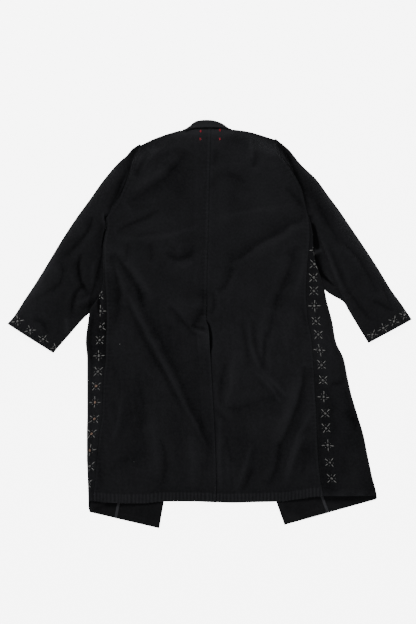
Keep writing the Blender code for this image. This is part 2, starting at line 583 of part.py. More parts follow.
def front_panel(side, collection):
    """A front: over the side from its seam, then along the floor to its front edge."""
    word, ends = WORDS[side], ENDS[side]
    y_seam, y_fold = side_heights(side, seam_hem(side)), side_heights(side, ends.fold_hem)
    skirt = slice(0, SKIRT_ROWS + 1)
    wrap_in, wrap_out = wrap_part(side, y_seam[skirt], y_fold[skirt])
    armhole = read(ARMHOLES, "height", word + "_front", y_fold[SKIRT_ROWS + 1 :])
    start_x = np.concatenate([wrap_in[:, -1, 0] / CM, armhole])
    share = np.linspace(0.0, 1.0, len(y_seam))
    edge_y = lerp(ends.edge_hem, ends.edge_neck, share)
    edge_x = front_edge(side, edge_y)
    width = np.abs(edge_x - start_x)
    distance, facing_cells = floor_columns(side, width)
    part = distance / width[:, None]
    x = lerp(start_x[:, None], edge_x[:, None], part)
    y = lerp(y_fold[:, None], edge_y[:, None], part)
    y = follow_top(x, y, FRONT_TOPS[side], share)
    low = floor_level(side, x, y)
    floor_in, floor_out = set_height(x, y, low + WALL), set_height(x, y, low)
    floor_in[skirt, 0], floor_out[skirt, 0] = wrap_in[:, -1], wrap_out[:, -1]
    turned = wrap_in.shape[1] - 1
    inner = np.concatenate([floor_in[:, :1].repeat(turned, axis=1), floor_in], axis=1)
    outer = np.concatenate([floor_out[:, :1].repeat(turned, axis=1), floor_out], axis=1)
    inner[skirt, :turned], outer[skirt, :turned] = wrap_in[:, :-1], wrap_out[:, :-1]
    absent = [(row, cell) for row in range(SKIRT_ROWS, len(share) - 1) for cell in range(turned)]
    cloth_wall("front_" + word, inner, outer, BLACK_COTTON, collection, absent)
    lining = floor_in[:, -facing_cells - 1 :] + [0, 0, LAYER_GAP]
    facing = lining[:, 1:]
    cloth_wall("facing_" + word, facing, facing + [0, 0, WALL], INSIDE_COTTON, collection)
    beside = lerp(lining[:, 1], lining[:, 0], SEAM_GAP / BINDING_WIDTH)
    tape = np.stack([lining[:, 0], beside], axis=1)
    cloth_wall("binding_" + word, tape, tape + [0, 0, WALL], PALE_TAPE, collection)


def outward(points, sign):
    """Unit normals in plan of a line of points."""
    run = np.gradient(points, axis=0)
    run /= np.linalg.norm(run, axis=1)[:, None]
    return sign * np.stack([-run[:, 1], run[:, 0]], axis=1)


def sleeve_plans(side, stations, share, from_outer, from_inner):
    """The plan of the sleeve's upper and lower sides: straight across, but sewn to the armhole."""
    heights = np.linspace(ENDS[side].shoulder, UNDERARM, YOKE_ROWS + 1)
    away = np.array([-side, 1.0]) * SEAM_GAP / CM
    fade_by = lerp(ARMHOLE_FADE[0], ARMHOLE_FADE[1], ramp(share, *ARMHOLE_FADE_SHARE))
    fade_by[-1] = stations[1]
    near_armhole = (1 - ramp(stations[:, None], 0.0, fade_by))[..., None]
    chord = lerp(from_outer[:, None], from_inner[:, None], share[None, :, None])
    plans = []
    for face in ("_back", "_front"):
        armhole = read(ARMHOLES, "height", WORDS[side] + face, heights)
        seam = np.stack([armhole, heights], axis=1) + away
        plans.append(chord + near_armhole * (seam - chord[0])[None])
    return plans


def sleeve_top(side, stations, share, x, y, low):
    """The inner side of the sleeve's upper cloth: sewn to the back, domed, and low beside the body."""
    flat = read(SLEEVE_SHAPES, "along", WORDS[side] + "_flat", stations)[:, None]
    crown = read(SLEEVE_SHAPES, "along", "crown_mm", stations)[:, None] * MM
    crown = np.maximum(crown + fold_height(SLEEVE_FOLDS, x, y), SLEEVE_LEAST_CROWN)
    dome = np.sin(np.pi * np.clip(share[None] / (1 - flat), 0.0, 1.0)) ** DOME_POWER
    edge_loft = lerp(SLEEVE_EDGE_LOFT, SLEEVE_FLAT_LOFT, ramp(share[None], *SLEEVE_PRESSED))
    own = ramp(stations[:, None], 0.0, lerp(OWN_BY[0], OWN_BY[1], share[None]))
    top = lerp(top_level(x, y), WALL + edge_loft + dome * crown, own)
    beyond = np.maximum(side * (fold_edge(side, y) - x) - BESIDE_BODY, 0.0) * CM
    beside = (1 - ramp(y, *BESIDE_HEAD)) * ramp(stations[:, None], 0.0, stations[2])
    top = lerp(top, np.minimum(top, WALL + SLEEVE_FLAT_LOFT + beyond * BESIDE_SLOPE), beside)
    return np.maximum(top, low + SLEEVE_FLAT_LOFT)


def sleeve_turn(edges, heights, out, radius):
    """The turn at one edge of the sleeve, from its upper cloth to its lower: inner and outer points."""
    inner, outer = [], []
    for step in range(1, SLEEVE_TURN + 1):
        turned = step / (SLEEVE_TURN + 1)
        angle = math.pi / 2 - math.pi * turned
        plan = lerp(*edges, turned) + out * radius * math.cos(angle)
        shell = plan + out * WALL / CM * math.cos(angle)
        height = (heights[0] + heights[1]) / 2 + (heights[0] - heights[1]) / 2 * math.sin(angle)
        inner.append(set_height(plan[:, 0], plan[:, 1], height))
        outer.append(set_height(shell[:, 0], shell[:, 1], height + WALL * math.sin(angle)))
    return np.stack(inner, axis=1), np.stack(outer, axis=1)


def sleeve(side, collection):
    """A flattened tube from the armhole to the cuff, partly under the body."""
    stations = np.array(SLEEVE_STATIONS)
    share = np.linspace(0.0, 1.0, YOKE_ROWS + 1)
    edge_outer, edge_inner = (along(edge, stations) for edge in SLEEVE_EDGES[side])
    out_outer, out_inner = outward(edge_outer, -side), outward(edge_inner, side)
    from_outer = edge_outer - out_outer * (WALL / CM + OUTER_TURN)
    from_inner = edge_inner - out_inner * (WALL / CM + INNER_TURN)
    upper, lower = sleeve_plans(side, stations, share, from_outer, from_inner)
    low = floor_level(side, lower[..., 0], lower[..., 1])
    low = low * (1 - ramp(stations[:, None], *OFF_ARMHOLE)) + WALL
    top = sleeve_top(side, stations, share, upper[..., 0], upper[..., 1], low)
    upper_in = set_height(upper[..., 0], upper[..., 1], top)
    lower_in = set_height(lower[..., 0], lower[..., 1], low)[:, ::-1]
    turns = []
    for place, out, radius in ((-1, out_inner, INNER_TURN), (0, out_outer, OUTER_TURN)):
        edges = (upper[:, place], lower[:, place])
        turns.append(sleeve_turn(edges, (top[:, place], low[:, place]), out, radius))
    (inner_turn, inner_shell), (outer_turn, outer_shell) = turns
    inner = np.concatenate([upper_in, inner_turn, lower_in, outer_turn[:, ::-1]], axis=1)
    above, below = upper_in + [0, 0, WALL], lower_in - [0, 0, WALL]
    outer = np.concatenate([above, inner_shell, below, outer_shell[:, ::-1]], axis=1)
    cloth_wall("sleeve_" + WORDS[side], inner, outer, BLACK_COTTON, collection, closed=True)


def collar(collection):
    """The collar: out from the neckline, over its roll and back, above the back and under the fronts."""
    inner, outer = [], []
    for place in COLLAR_PLACES:
        facing, tilt = math.radians(place.facing_deg), math.radians(place.tilt_deg)
        side = LEFT if place.x < 0 else RIGHT
        up = np.array([math.cos(facing), math.sin(facing), 0.0])
        over = np.array([-side * up[1], side * up[0], 0.0]) * math.cos(tilt) + [0, 0, math.sin(tilt)]
        x, y = np.array(place.x), np.array(place.y)
        front_z = floor_level(side, x, y) + WALL / 2
        share = (math.sin(tilt) + 1) / 2
        foot = set_height(x, y, lerp(front_z, top_level(x, y) + WALL / 2, share)) + up * SEAM_GAP
        radius = lerp((front_z - WALL / 2) / 2, COLLAR_ROLL, share)
        stand_end = foot + up * place.stand * CM
        spine, away = [foot], [-over]
        for step in range(COLLAR_TURN + 1):
            angle = math.pi * step / COLLAR_TURN
            bend = up * math.sin(angle) - over * math.cos(angle)
            spine.append(stand_end + over * radius + bend * radius)
            away.append(bend)
        spine.append(spine[-1] - up * place.fall * CM)
        away.append(over)
        spine, away = np.array(spine), np.array(away)
        inner.append(spine - away * WALL / 2)
        outer.append(spine + away * WALL / 2)
    cloth_wall("collar", np.array(inner), np.array(outer), BLACK_COTTON, collection)


def button(number, height, collection):
    """A round button under the lapped fronts."""
    shape = bmesh.new()
    radius = BUTTON_RADIUS
    bmesh.ops.create_cone(
        shape, cap_ends=True, segments=BUTTON_SIDES, radius1=radius, radius2=radius, depth=BUTTON_DEPTH
    )
    rims = [edge for edge in shape.edges if abs(edge.verts[0].co.z - edge.verts[1].co.z) < BUTTON_DEPTH / 2]
    bmesh.ops.bevel(shape, geom=rims, offset=BUTTON_BEVEL, segments=1, affect="EDGES", profile=0.5)
    thing = add_object(f"button_{number}", shape, BUTTON_BLACK, collection)
    thing.location = (placket_centre(height) * CM, height * CM, BUTTON_DEPTH / 2)


def main():
    clear_scene()
    collection = bpy.data.collections.new("military_coat")
    bpy.context.scene.collection.children.link(collection)
    for side in (LEFT, RIGHT):
        back_panel(side, collection)
        front_panel(side, collection)
        sleeve(side, collection)
    collar(collection)
    for number, height in enumerate(BUTTON_HEIGHTS, 1):
        button(number, height, collection)


main()
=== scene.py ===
"""The dressed military coat: worn black cotton, sewn, embroidered and laid flat on its front.

The coat lies face down, so its back is up. X runs to the right, Y towards the collar and Z up.
Tables are in centimetres from the middle of the laid-out coat, and heights in millimetres say so.
"""

import logging
import math
from dataclasses import dataclass, field
from enum import Enum
from typing import Callable, NamedTuple

import bmesh
import bpy
import numpy as np
from mathutils import Matrix, Vector
from mathutils.bvhtree import BVHTree


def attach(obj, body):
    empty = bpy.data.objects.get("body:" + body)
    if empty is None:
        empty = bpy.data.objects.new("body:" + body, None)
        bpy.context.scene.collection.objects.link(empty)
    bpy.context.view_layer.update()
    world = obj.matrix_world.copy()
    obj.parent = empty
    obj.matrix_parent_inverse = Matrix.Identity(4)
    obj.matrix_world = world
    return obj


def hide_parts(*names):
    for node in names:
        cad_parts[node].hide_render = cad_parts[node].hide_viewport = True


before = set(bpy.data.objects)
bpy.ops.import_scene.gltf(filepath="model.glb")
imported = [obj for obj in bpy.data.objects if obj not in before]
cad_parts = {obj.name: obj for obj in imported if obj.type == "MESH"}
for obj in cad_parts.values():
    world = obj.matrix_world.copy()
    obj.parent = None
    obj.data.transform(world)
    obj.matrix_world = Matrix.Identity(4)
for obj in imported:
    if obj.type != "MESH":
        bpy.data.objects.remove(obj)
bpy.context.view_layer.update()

log = logging.getLogger("coat")

CM = 0.01
MM = 0.001
BODY = "root"
Array = np.ndarray
Colour = tuple[float, float, float, float]


class Side(Enum):
    """The wearer's side, and the way in X from its fold to the middle."""

    LEFT = 1.0
    RIGHT = -1.0

    @property
    def word(self) -> str:
        """The side's word in the nodes' names."""
        return self.name.lower()

    @property
    def sign(self) -> float:
        """The way in X from the side to the middle."""
        return self.value


class Cross(Enum):
    """How an embroidered star is turned, in degrees."""

    UPRIGHT = 0.0
    DIAGONAL = 45.0


class Section(NamedTuple):
    """The body at one height: where its sides fold, its side seams and its front edges lie."""

    height: float
    left_fold: float
    left_seam: float
    left_front: float
    right_front: float
    right_seam: float
    right_fold: float


class Armhole(NamedTuple):
    """The armholes at one height, on the back and on the front."""

    height: float
    left_back: float
    left_front: float
    right_back: float
    right_front: float


class Centre(NamedTuple):
    """The inner edges of the two backs at one height."""

    height: float
    left_panel: float
    right_panel: float


class Spot(NamedTuple):
    """A point in plan."""

    x: float
    y: float


class HemLoft(NamedTuple):
    """How far the hem stands off what it lies on."""

    x: float
    loft_mm: float


class FrontEnds(NamedTuple):
    """A front's ends: its hem at the fold and at the front edge, and its tops."""

    fold_hem: float
    edge_hem: float
    edge_neck: float
    shoulder: float


class SleeveShape(NamedTuple):
    """The share of a sleeve's width pressed flat on its inner side, and its crown."""

    along: float
    left_flat: float
    right_flat: float
    crown_mm: float


class Fold(NamedTuple):
    """Three points on a crease, its width, its height in millimetres, its lean to one side and its tone: painted shade
    below zero and painted highlight above zero along the crease.
    """

    x0: float
    y0: float
    x1: float
    y1: float
    x2: float
    y2: float
    width: float
    height_mm: float
    lean: float = 0.0
    tone: float = 0.0


class Mound(NamedTuple):
    """A soft swelling of the cloth."""

    x: float
    y: float
    reach: float
    height_mm: float


class CollarPlace(NamedTuple):
    """A place on the neckline, the way that the stand goes and turns over, its stand and its fall."""

    x: float
    y: float
    facing_deg: float
    tilt_deg: float
    stand: float
    fall: float


class StarPlace(NamedTuple):
    """A star beside the side seam: its height, its distance from the seam and its turn."""

    height: float
    away: float
    cross: Cross


def listed(kind: type, rows: list[tuple]) -> list:
    """A table of named rows from plain ones."""
    return [kind(*row) for row in rows]


def column(table: list, name: str) -> Array:
    """One named column of a table, as an array."""
    return np.array([getattr(row, name) for row in table], float)


SECTIONS = listed(Section, [
    (-59, -35, -33.6, -14.5, 22.1, 33.2, 49), (-50, -35.1, -33.5, -12.9, 18.9, 32.9, 48.6),
    (-44, -35.3, -33, -11.8, 16.8, 32, 47.2), (-38, -35.5, -32.4, -10.7, 14.6, 31.5, 45.9),
    (-32, -35.5, -31.9, -9.7, 12.4, 31.2, 44.7), (-26, -35.4, -31, -8.6, 10.3, 31, 42.9),
    (-20, -35.4, -30.8, -7.6, 8.1, 30.6, 41.1), (-15, -35.4, -30.6, -6.7, 6.3, 30.4, 40),
    (-10, -35.4, -30, -5.8, 4.5, 30.1, 39), (-5, -35.8, -29.9, -4.9, 2.7, 29.7, 36.7),
    (1, -35.1, -29.7, -3.7, 0.6, 28.6, 35.6), (4, -34.6, -29.7, -2.9, -0.5, 28.3, 34.8),
    (7, -32.7, -29.8, -2.2, -1.5, 28.1, 34), (10, -31.3, -30, -1.2, -2, 28, 33.4),
    (14, -30.6, -30.2, 0.4, -2, 28.2, 32.2), (18, -30.8, -30.4, 1.4, -2, 28.5, 30.8),
    (22, -30.8, -30.5, 1.9, -2, 28.9, 30.2), (26, -30.2, -30, 2, -2, 29.1, 30), (28.5, -29.6, -29.4, 2, -2, 29, 29.6),
    (31, -29.9, -29.7, 2, -2, 28.7, 28.9), (54, -29.9, -29.7, 2, -2, 28.7, 28.9),
])

ARMHOLES = listed(Armhole, [
    (31, -29.7, -29.76, 28.7, 28.76), (33, -28.3, -27.6, 28.2, 27.2), (35.5, -26.5, -26, 27.6, 26),
    (39, -25, -24.3, 26.8, 24.7), (43, -23.2, -22.8, 24.8, 23.2), (47, -21.9, -21.8, 22, 21.2),
    (50, -20.8, -20.7, 19.7, 19.5), (54, -19, -19, 18.9, 18.9),
])

CENTRES = listed(Centre, [
    (-51.5, 1.95, -2.4), (-40, 1.8, -2.4), (-30, 1.45, -2.4), (-20, 0.9, -2.5), (-12, 0.46, -2.6), (-9, 0.27, -2.6),
    (-6, 0.06, -2.6), (-3, -0.08, -2.4), (-0.5, -0.38, -1.8), (1.3, -0.95, -0.95), (7, -0.8, -0.8),
    (16, -0.65, -0.65), (27, -0.3, -0.3), (36, -0.1, -0.1), (48, 0.2, 0.2), (58, 0.5, 0.5),
])

VENT_SHADE = listed(Spot, [
    (2, -51.5), (0.98, -20), (0.56, -12), (0.5, -9.4), (0.5, -7.8), (0.84, -6.1), (0.84, -3.9), (0.5, -1.7),
    (-0.1, 0.3), (-0.9, 1.8), (-1.2, 4),
])
HEM = listed(Spot, [
    (-36, -50.9), (-28.5, -51.6), (-19.5, -51.8), (-13.2, -51.3), (-4.8, -51.3), (0.8, -51.5), (6.8, -51.7),
    (14, -51.5), (20, -51.3), (26, -50.6), (30.2, -49.9), (37, -49.4), (44, -50.1), (49, -50.7),
])
HEM_LOFT = listed(HemLoft, [
    (-35, 4), (-30, 6), (-24, 5), (-18, 3), (-12, 1.5), (10, 1.2), (20, 1.5), (27, 3.5), (33, 8), (40, 12), (45, 8),
    (49, 3),
])

BACK_TOP = listed(Spot, [
    (-19.8, 52), (-16, 53.8), (-11.4, 55.4), (-7.5, 56.3), (-4, 57), (0.5, 57.2), (4, 57), (6.1, 56.5), (8.3, 56.3),
    (11.6, 55.8), (14.9, 54.9), (18.9, 53.6),
])
LEFT_FRONT_TOP = listed(Spot, [
    (-19.8, 52), (-16, 53.8), (-11.4, 55.4), (-7.5, 56.3), (-6.3, 53.4), (-4, 51), (-1, 49.8), (2, 49.5),
])
RIGHT_FRONT_TOP = listed(Spot, [
    (-2, 49.5), (1, 49.8), (4, 51.6), (5.2, 53.4), (6.1, 56.5), (8.3, 56.3), (11.6, 55.8), (14.9, 54.9), (18.9, 53.6),
])
FRONT_TOPS = {Side.LEFT: LEFT_FRONT_TOP, Side.RIGHT: RIGHT_FRONT_TOP}
ENDS = {
    Side.LEFT: FrontEnds(-54.4, -59.1, 49.5, 52.0),
    Side.RIGHT: FrontEnds(-50.7, -58.1, 49.5, 53.6),
}

LEFT_SLEEVE_OUTER = listed(Spot, [
    (-19.9, 52.1), (-22.1, 50.7), (-23.9, 48.7), (-25.9, 47.1), (-30.6, 41.9), (-34.6, 36.3), (-38.4, 31.1),
    (-42.3, 25.2), (-46.3, 18.6), (-50.6, 11.6), (-53.6, 7.1), (-57, 1.9), (-58.5, 0.3),
])
LEFT_SLEEVE_INNER = listed(Spot, [
    (-29.8, 31.3), (-29.6, 30.2), (-29.4, 29.2), (-29.5, 27.6), (-29.7, 26), (-29.8, 24), (-29.3, 20), (-29.8, 14),
    (-31.3, 8.8), (-32.9, 6.2), (-34.6, 3.5), (-36.3, 1.9), (-40.9, -3.3), (-44.3, -7.2), (-45.2, -8.3),
])
RIGHT_SLEEVE_OUTER = listed(Spot, [
    (19.1, 53.7), (20.6, 52.5), (22.8, 50.7), (26.3, 46.6), (31.2, 41.9), (34.1, 37.9), (37.6, 33.2), (41.4, 27.6),
    (45.6, 21.4), (49.4, 15.5), (52.6, 10.2), (55.5, 6.2), (58.7, 1.5),
])
RIGHT_SLEEVE_INNER = listed(Spot, [
    (28.95, 31.2), (29.05, 30.2), (29.25, 29.2), (29.5, 27.6), (29.6, 26), (29.7, 23), (30.2, 18), (31.4, 13),
    (33.9, 9.6), (35.9, 8.3), (39, 6.4), (40.4, 4), (42.8, 0), (46.1, -5.4),
])
SLEEVE_EDGES = {
    Side.LEFT: (LEFT_SLEEVE_OUTER, LEFT_SLEEVE_INNER),
    Side.RIGHT: (RIGHT_SLEEVE_OUTER, RIGHT_SLEEVE_INNER),
}
TOP_LINE = LEFT_SLEEVE_OUTER[::-1] + BACK_TOP + RIGHT_SLEEVE_OUTER
SLEEVE_SHAPES = listed(SleeveShape, [
    (0, 0, 0, 9), (0.05, 0.13, 0.13, 9), (0.15, 0.25, 0.25, 10), (0.28, 0.26, 0.4, 11), (0.44, 0.22, 0.35, 12),
    (0.56, 0.13, 0.2, 11), (0.7, 0, 0, 10), (1, 0, 0, 6.5),
])

# The last column paints shade (below zero) and highlight (above zero) along each crease.
BODY_FOLDS = listed(Fold, [
    (-21.9, 50.6, -24.2, 43.1, -27.6, 35.2, 1.2, -3, 0.3), (-18.2, 51.2, -20.4, 46.9, -22.5, 42, 0.9, 1.2, 0, 0.04),
    (-17.4, 50.2, -19.6, 46.1, -21.8, 43, 1.2, -3, 0, -0.12), (-14.8, 51.4, -17, 48, -20.4, 43.6, 1.1, 2),
    (-6.4, 50.5, -13, 42.4, -24, 35, 2.6, -4, -0.55, -0.08), (-9.3, 49, -15.3, 42.9, -22.8, 38.2, 1.3, 2),
    (-5, 46, -8.5, 38, -12, 30.5, 3.2, -1, 0, -0.14), (-14.1, 32.9, -19.5, 30.4, -27, 26.6, 0.9, -2.4, -0.3, -0.04),
    (-26.8, 24.9, -13, 25.6, -1.2, 29.2, 0.9, 0.9, 0.4, 0.07), (-1, 29.5, 10, 32.3, 23, 33.8, 1.1, 0.7, 0.5, 0.08),
    (-12.8, 20.8, -7.3, 19.2, -3.2, 23.2, 1.15, -3.2, -0.3, -0.06), (-13, 17, -8.5, 15.5, -4.5, 18, 2.2, 1.4, 0, 0.1),
    (-17.5, 23.6, -16.6, 21, -17.2, 17.8, 1, -1.5, 0, -0.1), (-24, 23.5, -23.8, 21, -24.3, 18, 0.8, -1.2, 0, -0.1),
    (-28.9, 20.8, -27, 14.5, -26.7, 5.6, 1, -3, 0.2, -0.04),
    (-27.8, 20.6, -23.2, 14.2, -18.6, 7, 1.1, -3.8, 0.3, -0.08), (-28, 18, -25.3, 12, -24.3, 5, 1, 2.4, 0, 0.06),
    (-24.4, 18.2, -20, 12.7, -15.8, 7, 1.2, 1.6, 0, 0.08), (-29.6, 30, -30, 23, -29.3, 15, 1.1, 1, 0, 0.16),
    (0.4, 38.4, 1.3, 42, 4.8, 43.3, 1, -2, 0.2, -0.1), (3.4, 43.2, 7.2, 43.3, 10.4, 40.6, 1.4, -2, 0.2, -0.06),
    (8.8, 42.2, 7.6, 38, 6.5, 33.5, 2.5, -0.8, 0, -0.12), (2.2, 51, 1.7, 48.3, 1.2, 45.6, 0.8, -1.8, 0, -0.12),
    (4.2, 53.9, 8, 52.8, 11.6, 52.4, 1.9, -1.2, 0, -0.12), (11.8, 54, 12.2, 50.5, 12.4, 47.8, 0.7, 1.4, 0, 0.14),
    (13.7, 50.4, 13.3, 47.5, 13.2, 45.3, 0.9, -2, 0, -0.1), (14.4, 54.3, 17.3, 52, 19.2, 49, 1.8, 1.4, 0, 0.24),
    # The next three creases, of little or no height, paint light across the yoke below the collar.
    (-12, 54.9, -2, 56.1, 8, 55.7, 1.3, 0.4, 0, 0.8), (-19.4, 51.4, -13, 54.2, -5, 55.8, 0.9, 0, 0, 0.3),
    (4, 56, 10, 55.2, 16.5, 52.8, 0.9, 0, 0, 0.5), (24.4, 4.5, 23.2, -2, 21.6, -8, 1.6, 0.5, 0, 0.14),
    (6, -27.2, 10, -32, 13, -39, 3.6, 0, 0, -0.12), (19.9, 52.6, 24.6, 45.4, 28, 36.1, 1.2, -3, -0.3),
    (22.4, 39.8, 25.6, 36, 28.5, 31.7, 1.1, -2.6, 0, -0.08), (28.2, 31.6, 17, 25, 5.6, 17.6, 1.8, -3.8, 0.6, -0.06),
    (12.6, 22.4, 7.5, 18, 3.4, 11.5, 2.9, -0.9, 0, -0.14), (27.7, 28.8, 19, 23, 11, 17.4, 1.6, 1.4, 0, 0.05),
    (24.9, 23, 22.8, 14.5, 18.5, 4, 2, -3.4, -0.5, -0.1), (27, 22, 27.2, 16, 24.2, 7.5, 1.1, 1.8, 0, 0.08),
    (19.9, 9, 18.2, 1, 16.6, -4, 1.3, -2.6, -0.2, -0.06), (27.6, 30, 28.4, 24, 28.3, 18.5, 1, 0.8, 0, 0.06),
    (0.7, 15.6, 2.1, 16.8, 3.8, 15.8, 0.5, -1.6, 0, -0.06), (6.6, 17, 5.2, 12.6, 2.2, 9.4, 0.9, -2.4, 0.3, -0.06),
    (-23.7, 8.8, -13.5, -11.2, 0.2, -37, 0.6, 2.9, -0.2, 0.02),
    (-21.2, 8.6, -9.9, -13.5, 0.8, -38, 2.3, -3.2, -0.6, -0.08),
    (-24.6, 8.4, -16.6, -8.6, -5.6, -25.6, 1, -2.6, 0.2, -0.06), (-21, 12, -20, 8, -18.8, 4, 1, -2.2, 0, -0.2),
    (-27, 11, -26.4, 4.6, -29.4, -3.6, 1.8, -2.6, 0, -0.16),
    (-11.6, 5.4, -7.6, 0.8, -3.9, -3.3, 0.75, -2.4, 0.3, -0.08),
    (-1.4, 10.8, -1.4, 6, -1.9, 2.6, 1.1, -2.4, 0, -0.26), (-1.5, 4.8, -3, 2, -5.6, -0.8, 1.05, -2.6, 0.2, -0.2),
    (-5.5, -0.5, -3.2, -0.9, -1.1, -1.45, 0.42, -1, 0, -0.24), (-4.6, -1.7, -2.8, -2, -1.2, -2.4, 0.4, 0.8, 0, 0.14),
    (0.8, 9.9, 1.5, 5.6, 0.1, 2.9, 0.55, -2.2, 0.2, -0.1), (9, 1.4, 10.6, -5.5, 11.6, -11.6, 0.9, -1.7, 0, -0.08),
    (12.6, 1.4, 13.7, -7.1, 16.6, -13.4, 0.8, -1.8, 0, -0.1), (11.6, 0, 12.3, -7, 14.8, -13, 0.5, 1.3, 0, 0.06),
    (16.5, -1.6, 16, -7, 15.6, -13, 0.6, -2, 0, -0.1), (7.1, -7.4, 6.6, -15, 5.4, -23.8, 2.2, 1.8, -0.5, 0.22),
    (4.5, -11, 3.6, -17, 3.2, -23.4, 0.8, -1.4, 0, -0.08), (13.3, -14, 17.5, -18, 20.7, -22.8, 0.6, 1.6, 0, 0.14),
    (14.8, -13.2, 19, -17.2, 22.2, -20.8, 0.5, 1.2, 0, 0.12),
    (5.4, -24.6, 13, -22.6, 21.4, -19.8, 2.8, -1.7, 0.6, -0.1),
    (1.2, -24.4, 3.2, -26, 5.8, -28.6, 0.5, -0.8, 0, -0.05),
    (27.7, -12, 25.6, -24, 19.9, -36, 1.4, -4.2, -0.6, -0.16),
    (20.3, -33.6, 19.9, -40, 17, -47.2, 0.9, -2.8, -0.2, -0.1), (25.2, -15, 22.3, -25, 17.8, -34, 2.2, 2, -0.2, 0.2),
    (30, -24.8, 25, -34.5, 21.8, -45.4, 0.8, 2, 0, 0.08), (27.6, -32, 24.2, -39, 22.4, -47.2, 0.7, 2, 0, 0.12),
    (28.9, -33, 28, -39, 26, -45.6, 1.5, -1.5, 0, -0.12), (26.6, 6.3, 27.8, 1.3, 28.7, -0.4, 0.8, -2),
    (34.6, -17.2, 37, -16.9, 39.6, -15.8, 0.7, -1.5), (39.4, -24.8, 41.4, -27.1, 43.7, -29.1, 1.2, -2.2),
    (-21.4, -14, -19, -27, -20.3, -41.6, 5.2, -0.7, 0.8, -0.18),
    (-25.5, -18.5, -26, -27, -28.6, -34.5, 0.8, 1.4, 0, 0.1),
    (-18.9, -23, -15.8, -33, -17.2, -44.4, 1.9, 1.6, 0, 0.12),
    (-14.4, -33, -12.6, -39.5, -14, -46.8, 0.9, -2, 0, -0.12), (-6.4, -32, -4.6, -40, -5, -47.2, 1.6, 1.5, 0, 0.1),
    (-3.6, -27, -1, -34, -0.8, -43, 1.6, -2, 0, -0.14), (2.9, -27, 2.9, -38, 3, -49.6, 0.7, 1.4, 0, 0.12),
    (4.8, -32.4, 6, -37.5, 7.8, -41.8, 0.7, -0.6, 0, -0.05), (12.4, -34.4, 10, -42, 7.7, -48.6, 0.7, 1.8, 0, 0.12),
    (12.9, -41, 11, -45.5, 9.4, -49, 0.9, -2, 0, -0.12), (-31.5, -44, -26, -40, -20, -35.6, 1.6, -0.4, 0, -0.12),
    (-32.6, -35, -31.8, -42, -31, -47.6, 1, -1.6, 0, -0.12), (-31.9, 9.5, -31.85, 6.5, -32, 3, 0.4, -2, 0.3, -0.4),
])
# The last column paints shade (below zero) and highlight (above zero) along each crease; a crease of no height only
# paints light or shade.
SLEEVE_FOLDS = listed(Fold, [
    (-34, 31.5, -36, 25.7, -43, 18.7, 0.85, -2.8, 0.2), (-36.9, 20.6, -37.5, 14, -33.6, 7.6, 0.75, -3.4, 0.2, -0.25),
    (-35.8, 11.2, -38.8, 8.6, -40, 1.6, 0.6, -2.6, 0, -0.2),
    (-31.2, 9.6, -33.6, 6.2, -37.2, 4.4, 0.7, -2.4, 0, -0.35), (-32.6, 10, -35.2, 7.4, -38.6, 6.2, 0.5, 1.4, 0, 0.15),
    (-43.6, 21.4, -48.6, 13.2, -55.4, 2.8, 2, 0.5, 0, 0.45), (-43.6, 19.4, -42.4, 14, -45.6, 9.4, 0.6, -1, 0, -0.06),
    (-41.4, 2.2, -41.2, -0.5, -40.9, -3, 0.5, 1, 0, 0.4), (-31, 31, -31.6, 25.5, -32, 19, 1.1, -0.5, 0, -0.25),
    (-31.4, 19.6, -31.9, 16, -32.6, 12.4, 0.6, -1.2, 0, -0.4),
    (-33.4, 18.6, -33.7, 15, -34.2, 11.6, 0.5, 1.4, 0, 0.15), (-52, 6.4, -46.6, 9.3, -43.6, 11.9, 0.8, -1.4),
    (-51.1, 1.3, -48.2, 0.4, -46.8, -3, 0.8, -2.4), (28.8, 39.6, 33.8, 30, 38, 22.6, 1.4, -2.6, 0.2),
    (37.6, 24.5, 43.6, 18.4, 48.4, 8.6, 0.85, -2.4, -0.2), (34.6, 22.4, 37.7, 14.6, 40.9, 8.4, 0.85, -3, 0.2),
    (39.8, 10.4, 43.5, 5.2, 47, 0.6, 0.75, -2.6), (47, 6.8, 50, 5.7, 53.2, 3.8, 0.7, -2.2),
    (49.5, 13, 51.2, 8.6, 53.2, 3.8, 0.5, -1.6), (34, 39, 44.5, 22.9, 54.4, 6.8, 1.6, 0, 0, 0.3),
    # This crease of no height paints light over the shadow at the left underarm.
    (-30.5, 32.3, -30.6, 31, -30.4, 28.8, 0.45, 0, 0, 0.6),
    (-20.9, 51.8, -24.3, 43.5, -28.8, 32.6, 0.8, -3.6, 0.2, -0.3),
    (19.7, 52.8, 24.5, 44.6, 28.9, 31.8, 0.8, -4, -0.3, -0.6), (24.4, 47, 30.6, 37.4, 38, 24.4, 3, -0.6, 0, -0.26),
    # From here, the tones of -0.75 to -2.2 paint near-black shade into the deep gap between the right sleeve and the
    # body, and the tone of 1.3 paints the fold across it lighter.
    (27.6, 38.8, 29.7, 33.8, 32.6, 27.2, 0.8, 1, 0, 0.12), (29.7, 29.5, 30.7, 26, 31.4, 21.9, 0.4, -4, 0, -2.2),
    (29.6, 20.7, 31, 21, 32.6, 21.8, 0.5, 1, 0, 1.3), (30.4, 20.4, 31.3, 17, 32.8, 13.8, 0.4, -3, 0, -2),
    (32.5, 14.5, 34.3, 12.9, 36.4, 11, 0.25, -1.5, 0, -1.2), (30.4, 25, 31.8, 18.5, 33.6, 12.5, 1.2, -1.5, 0, -0.75),
    (29.6, 29.6, 33.8, 20.5, 39.4, 8.2, 0.9, 3, 0.35, 0.25), (32, 20.8, 33.7, 15.5, 36.8, 10.4, 0.6, 2, 0, 0.3),
])
MOUNDS = listed(Mound, [
    (-10, 47, 7, 2), (8, 47, 7, 2), (-12, 22, 8, 2.2), (15, 12, 8, 2.2), (-12, -30, 7, 1.6), (16, -30, 6, 1.4),
])

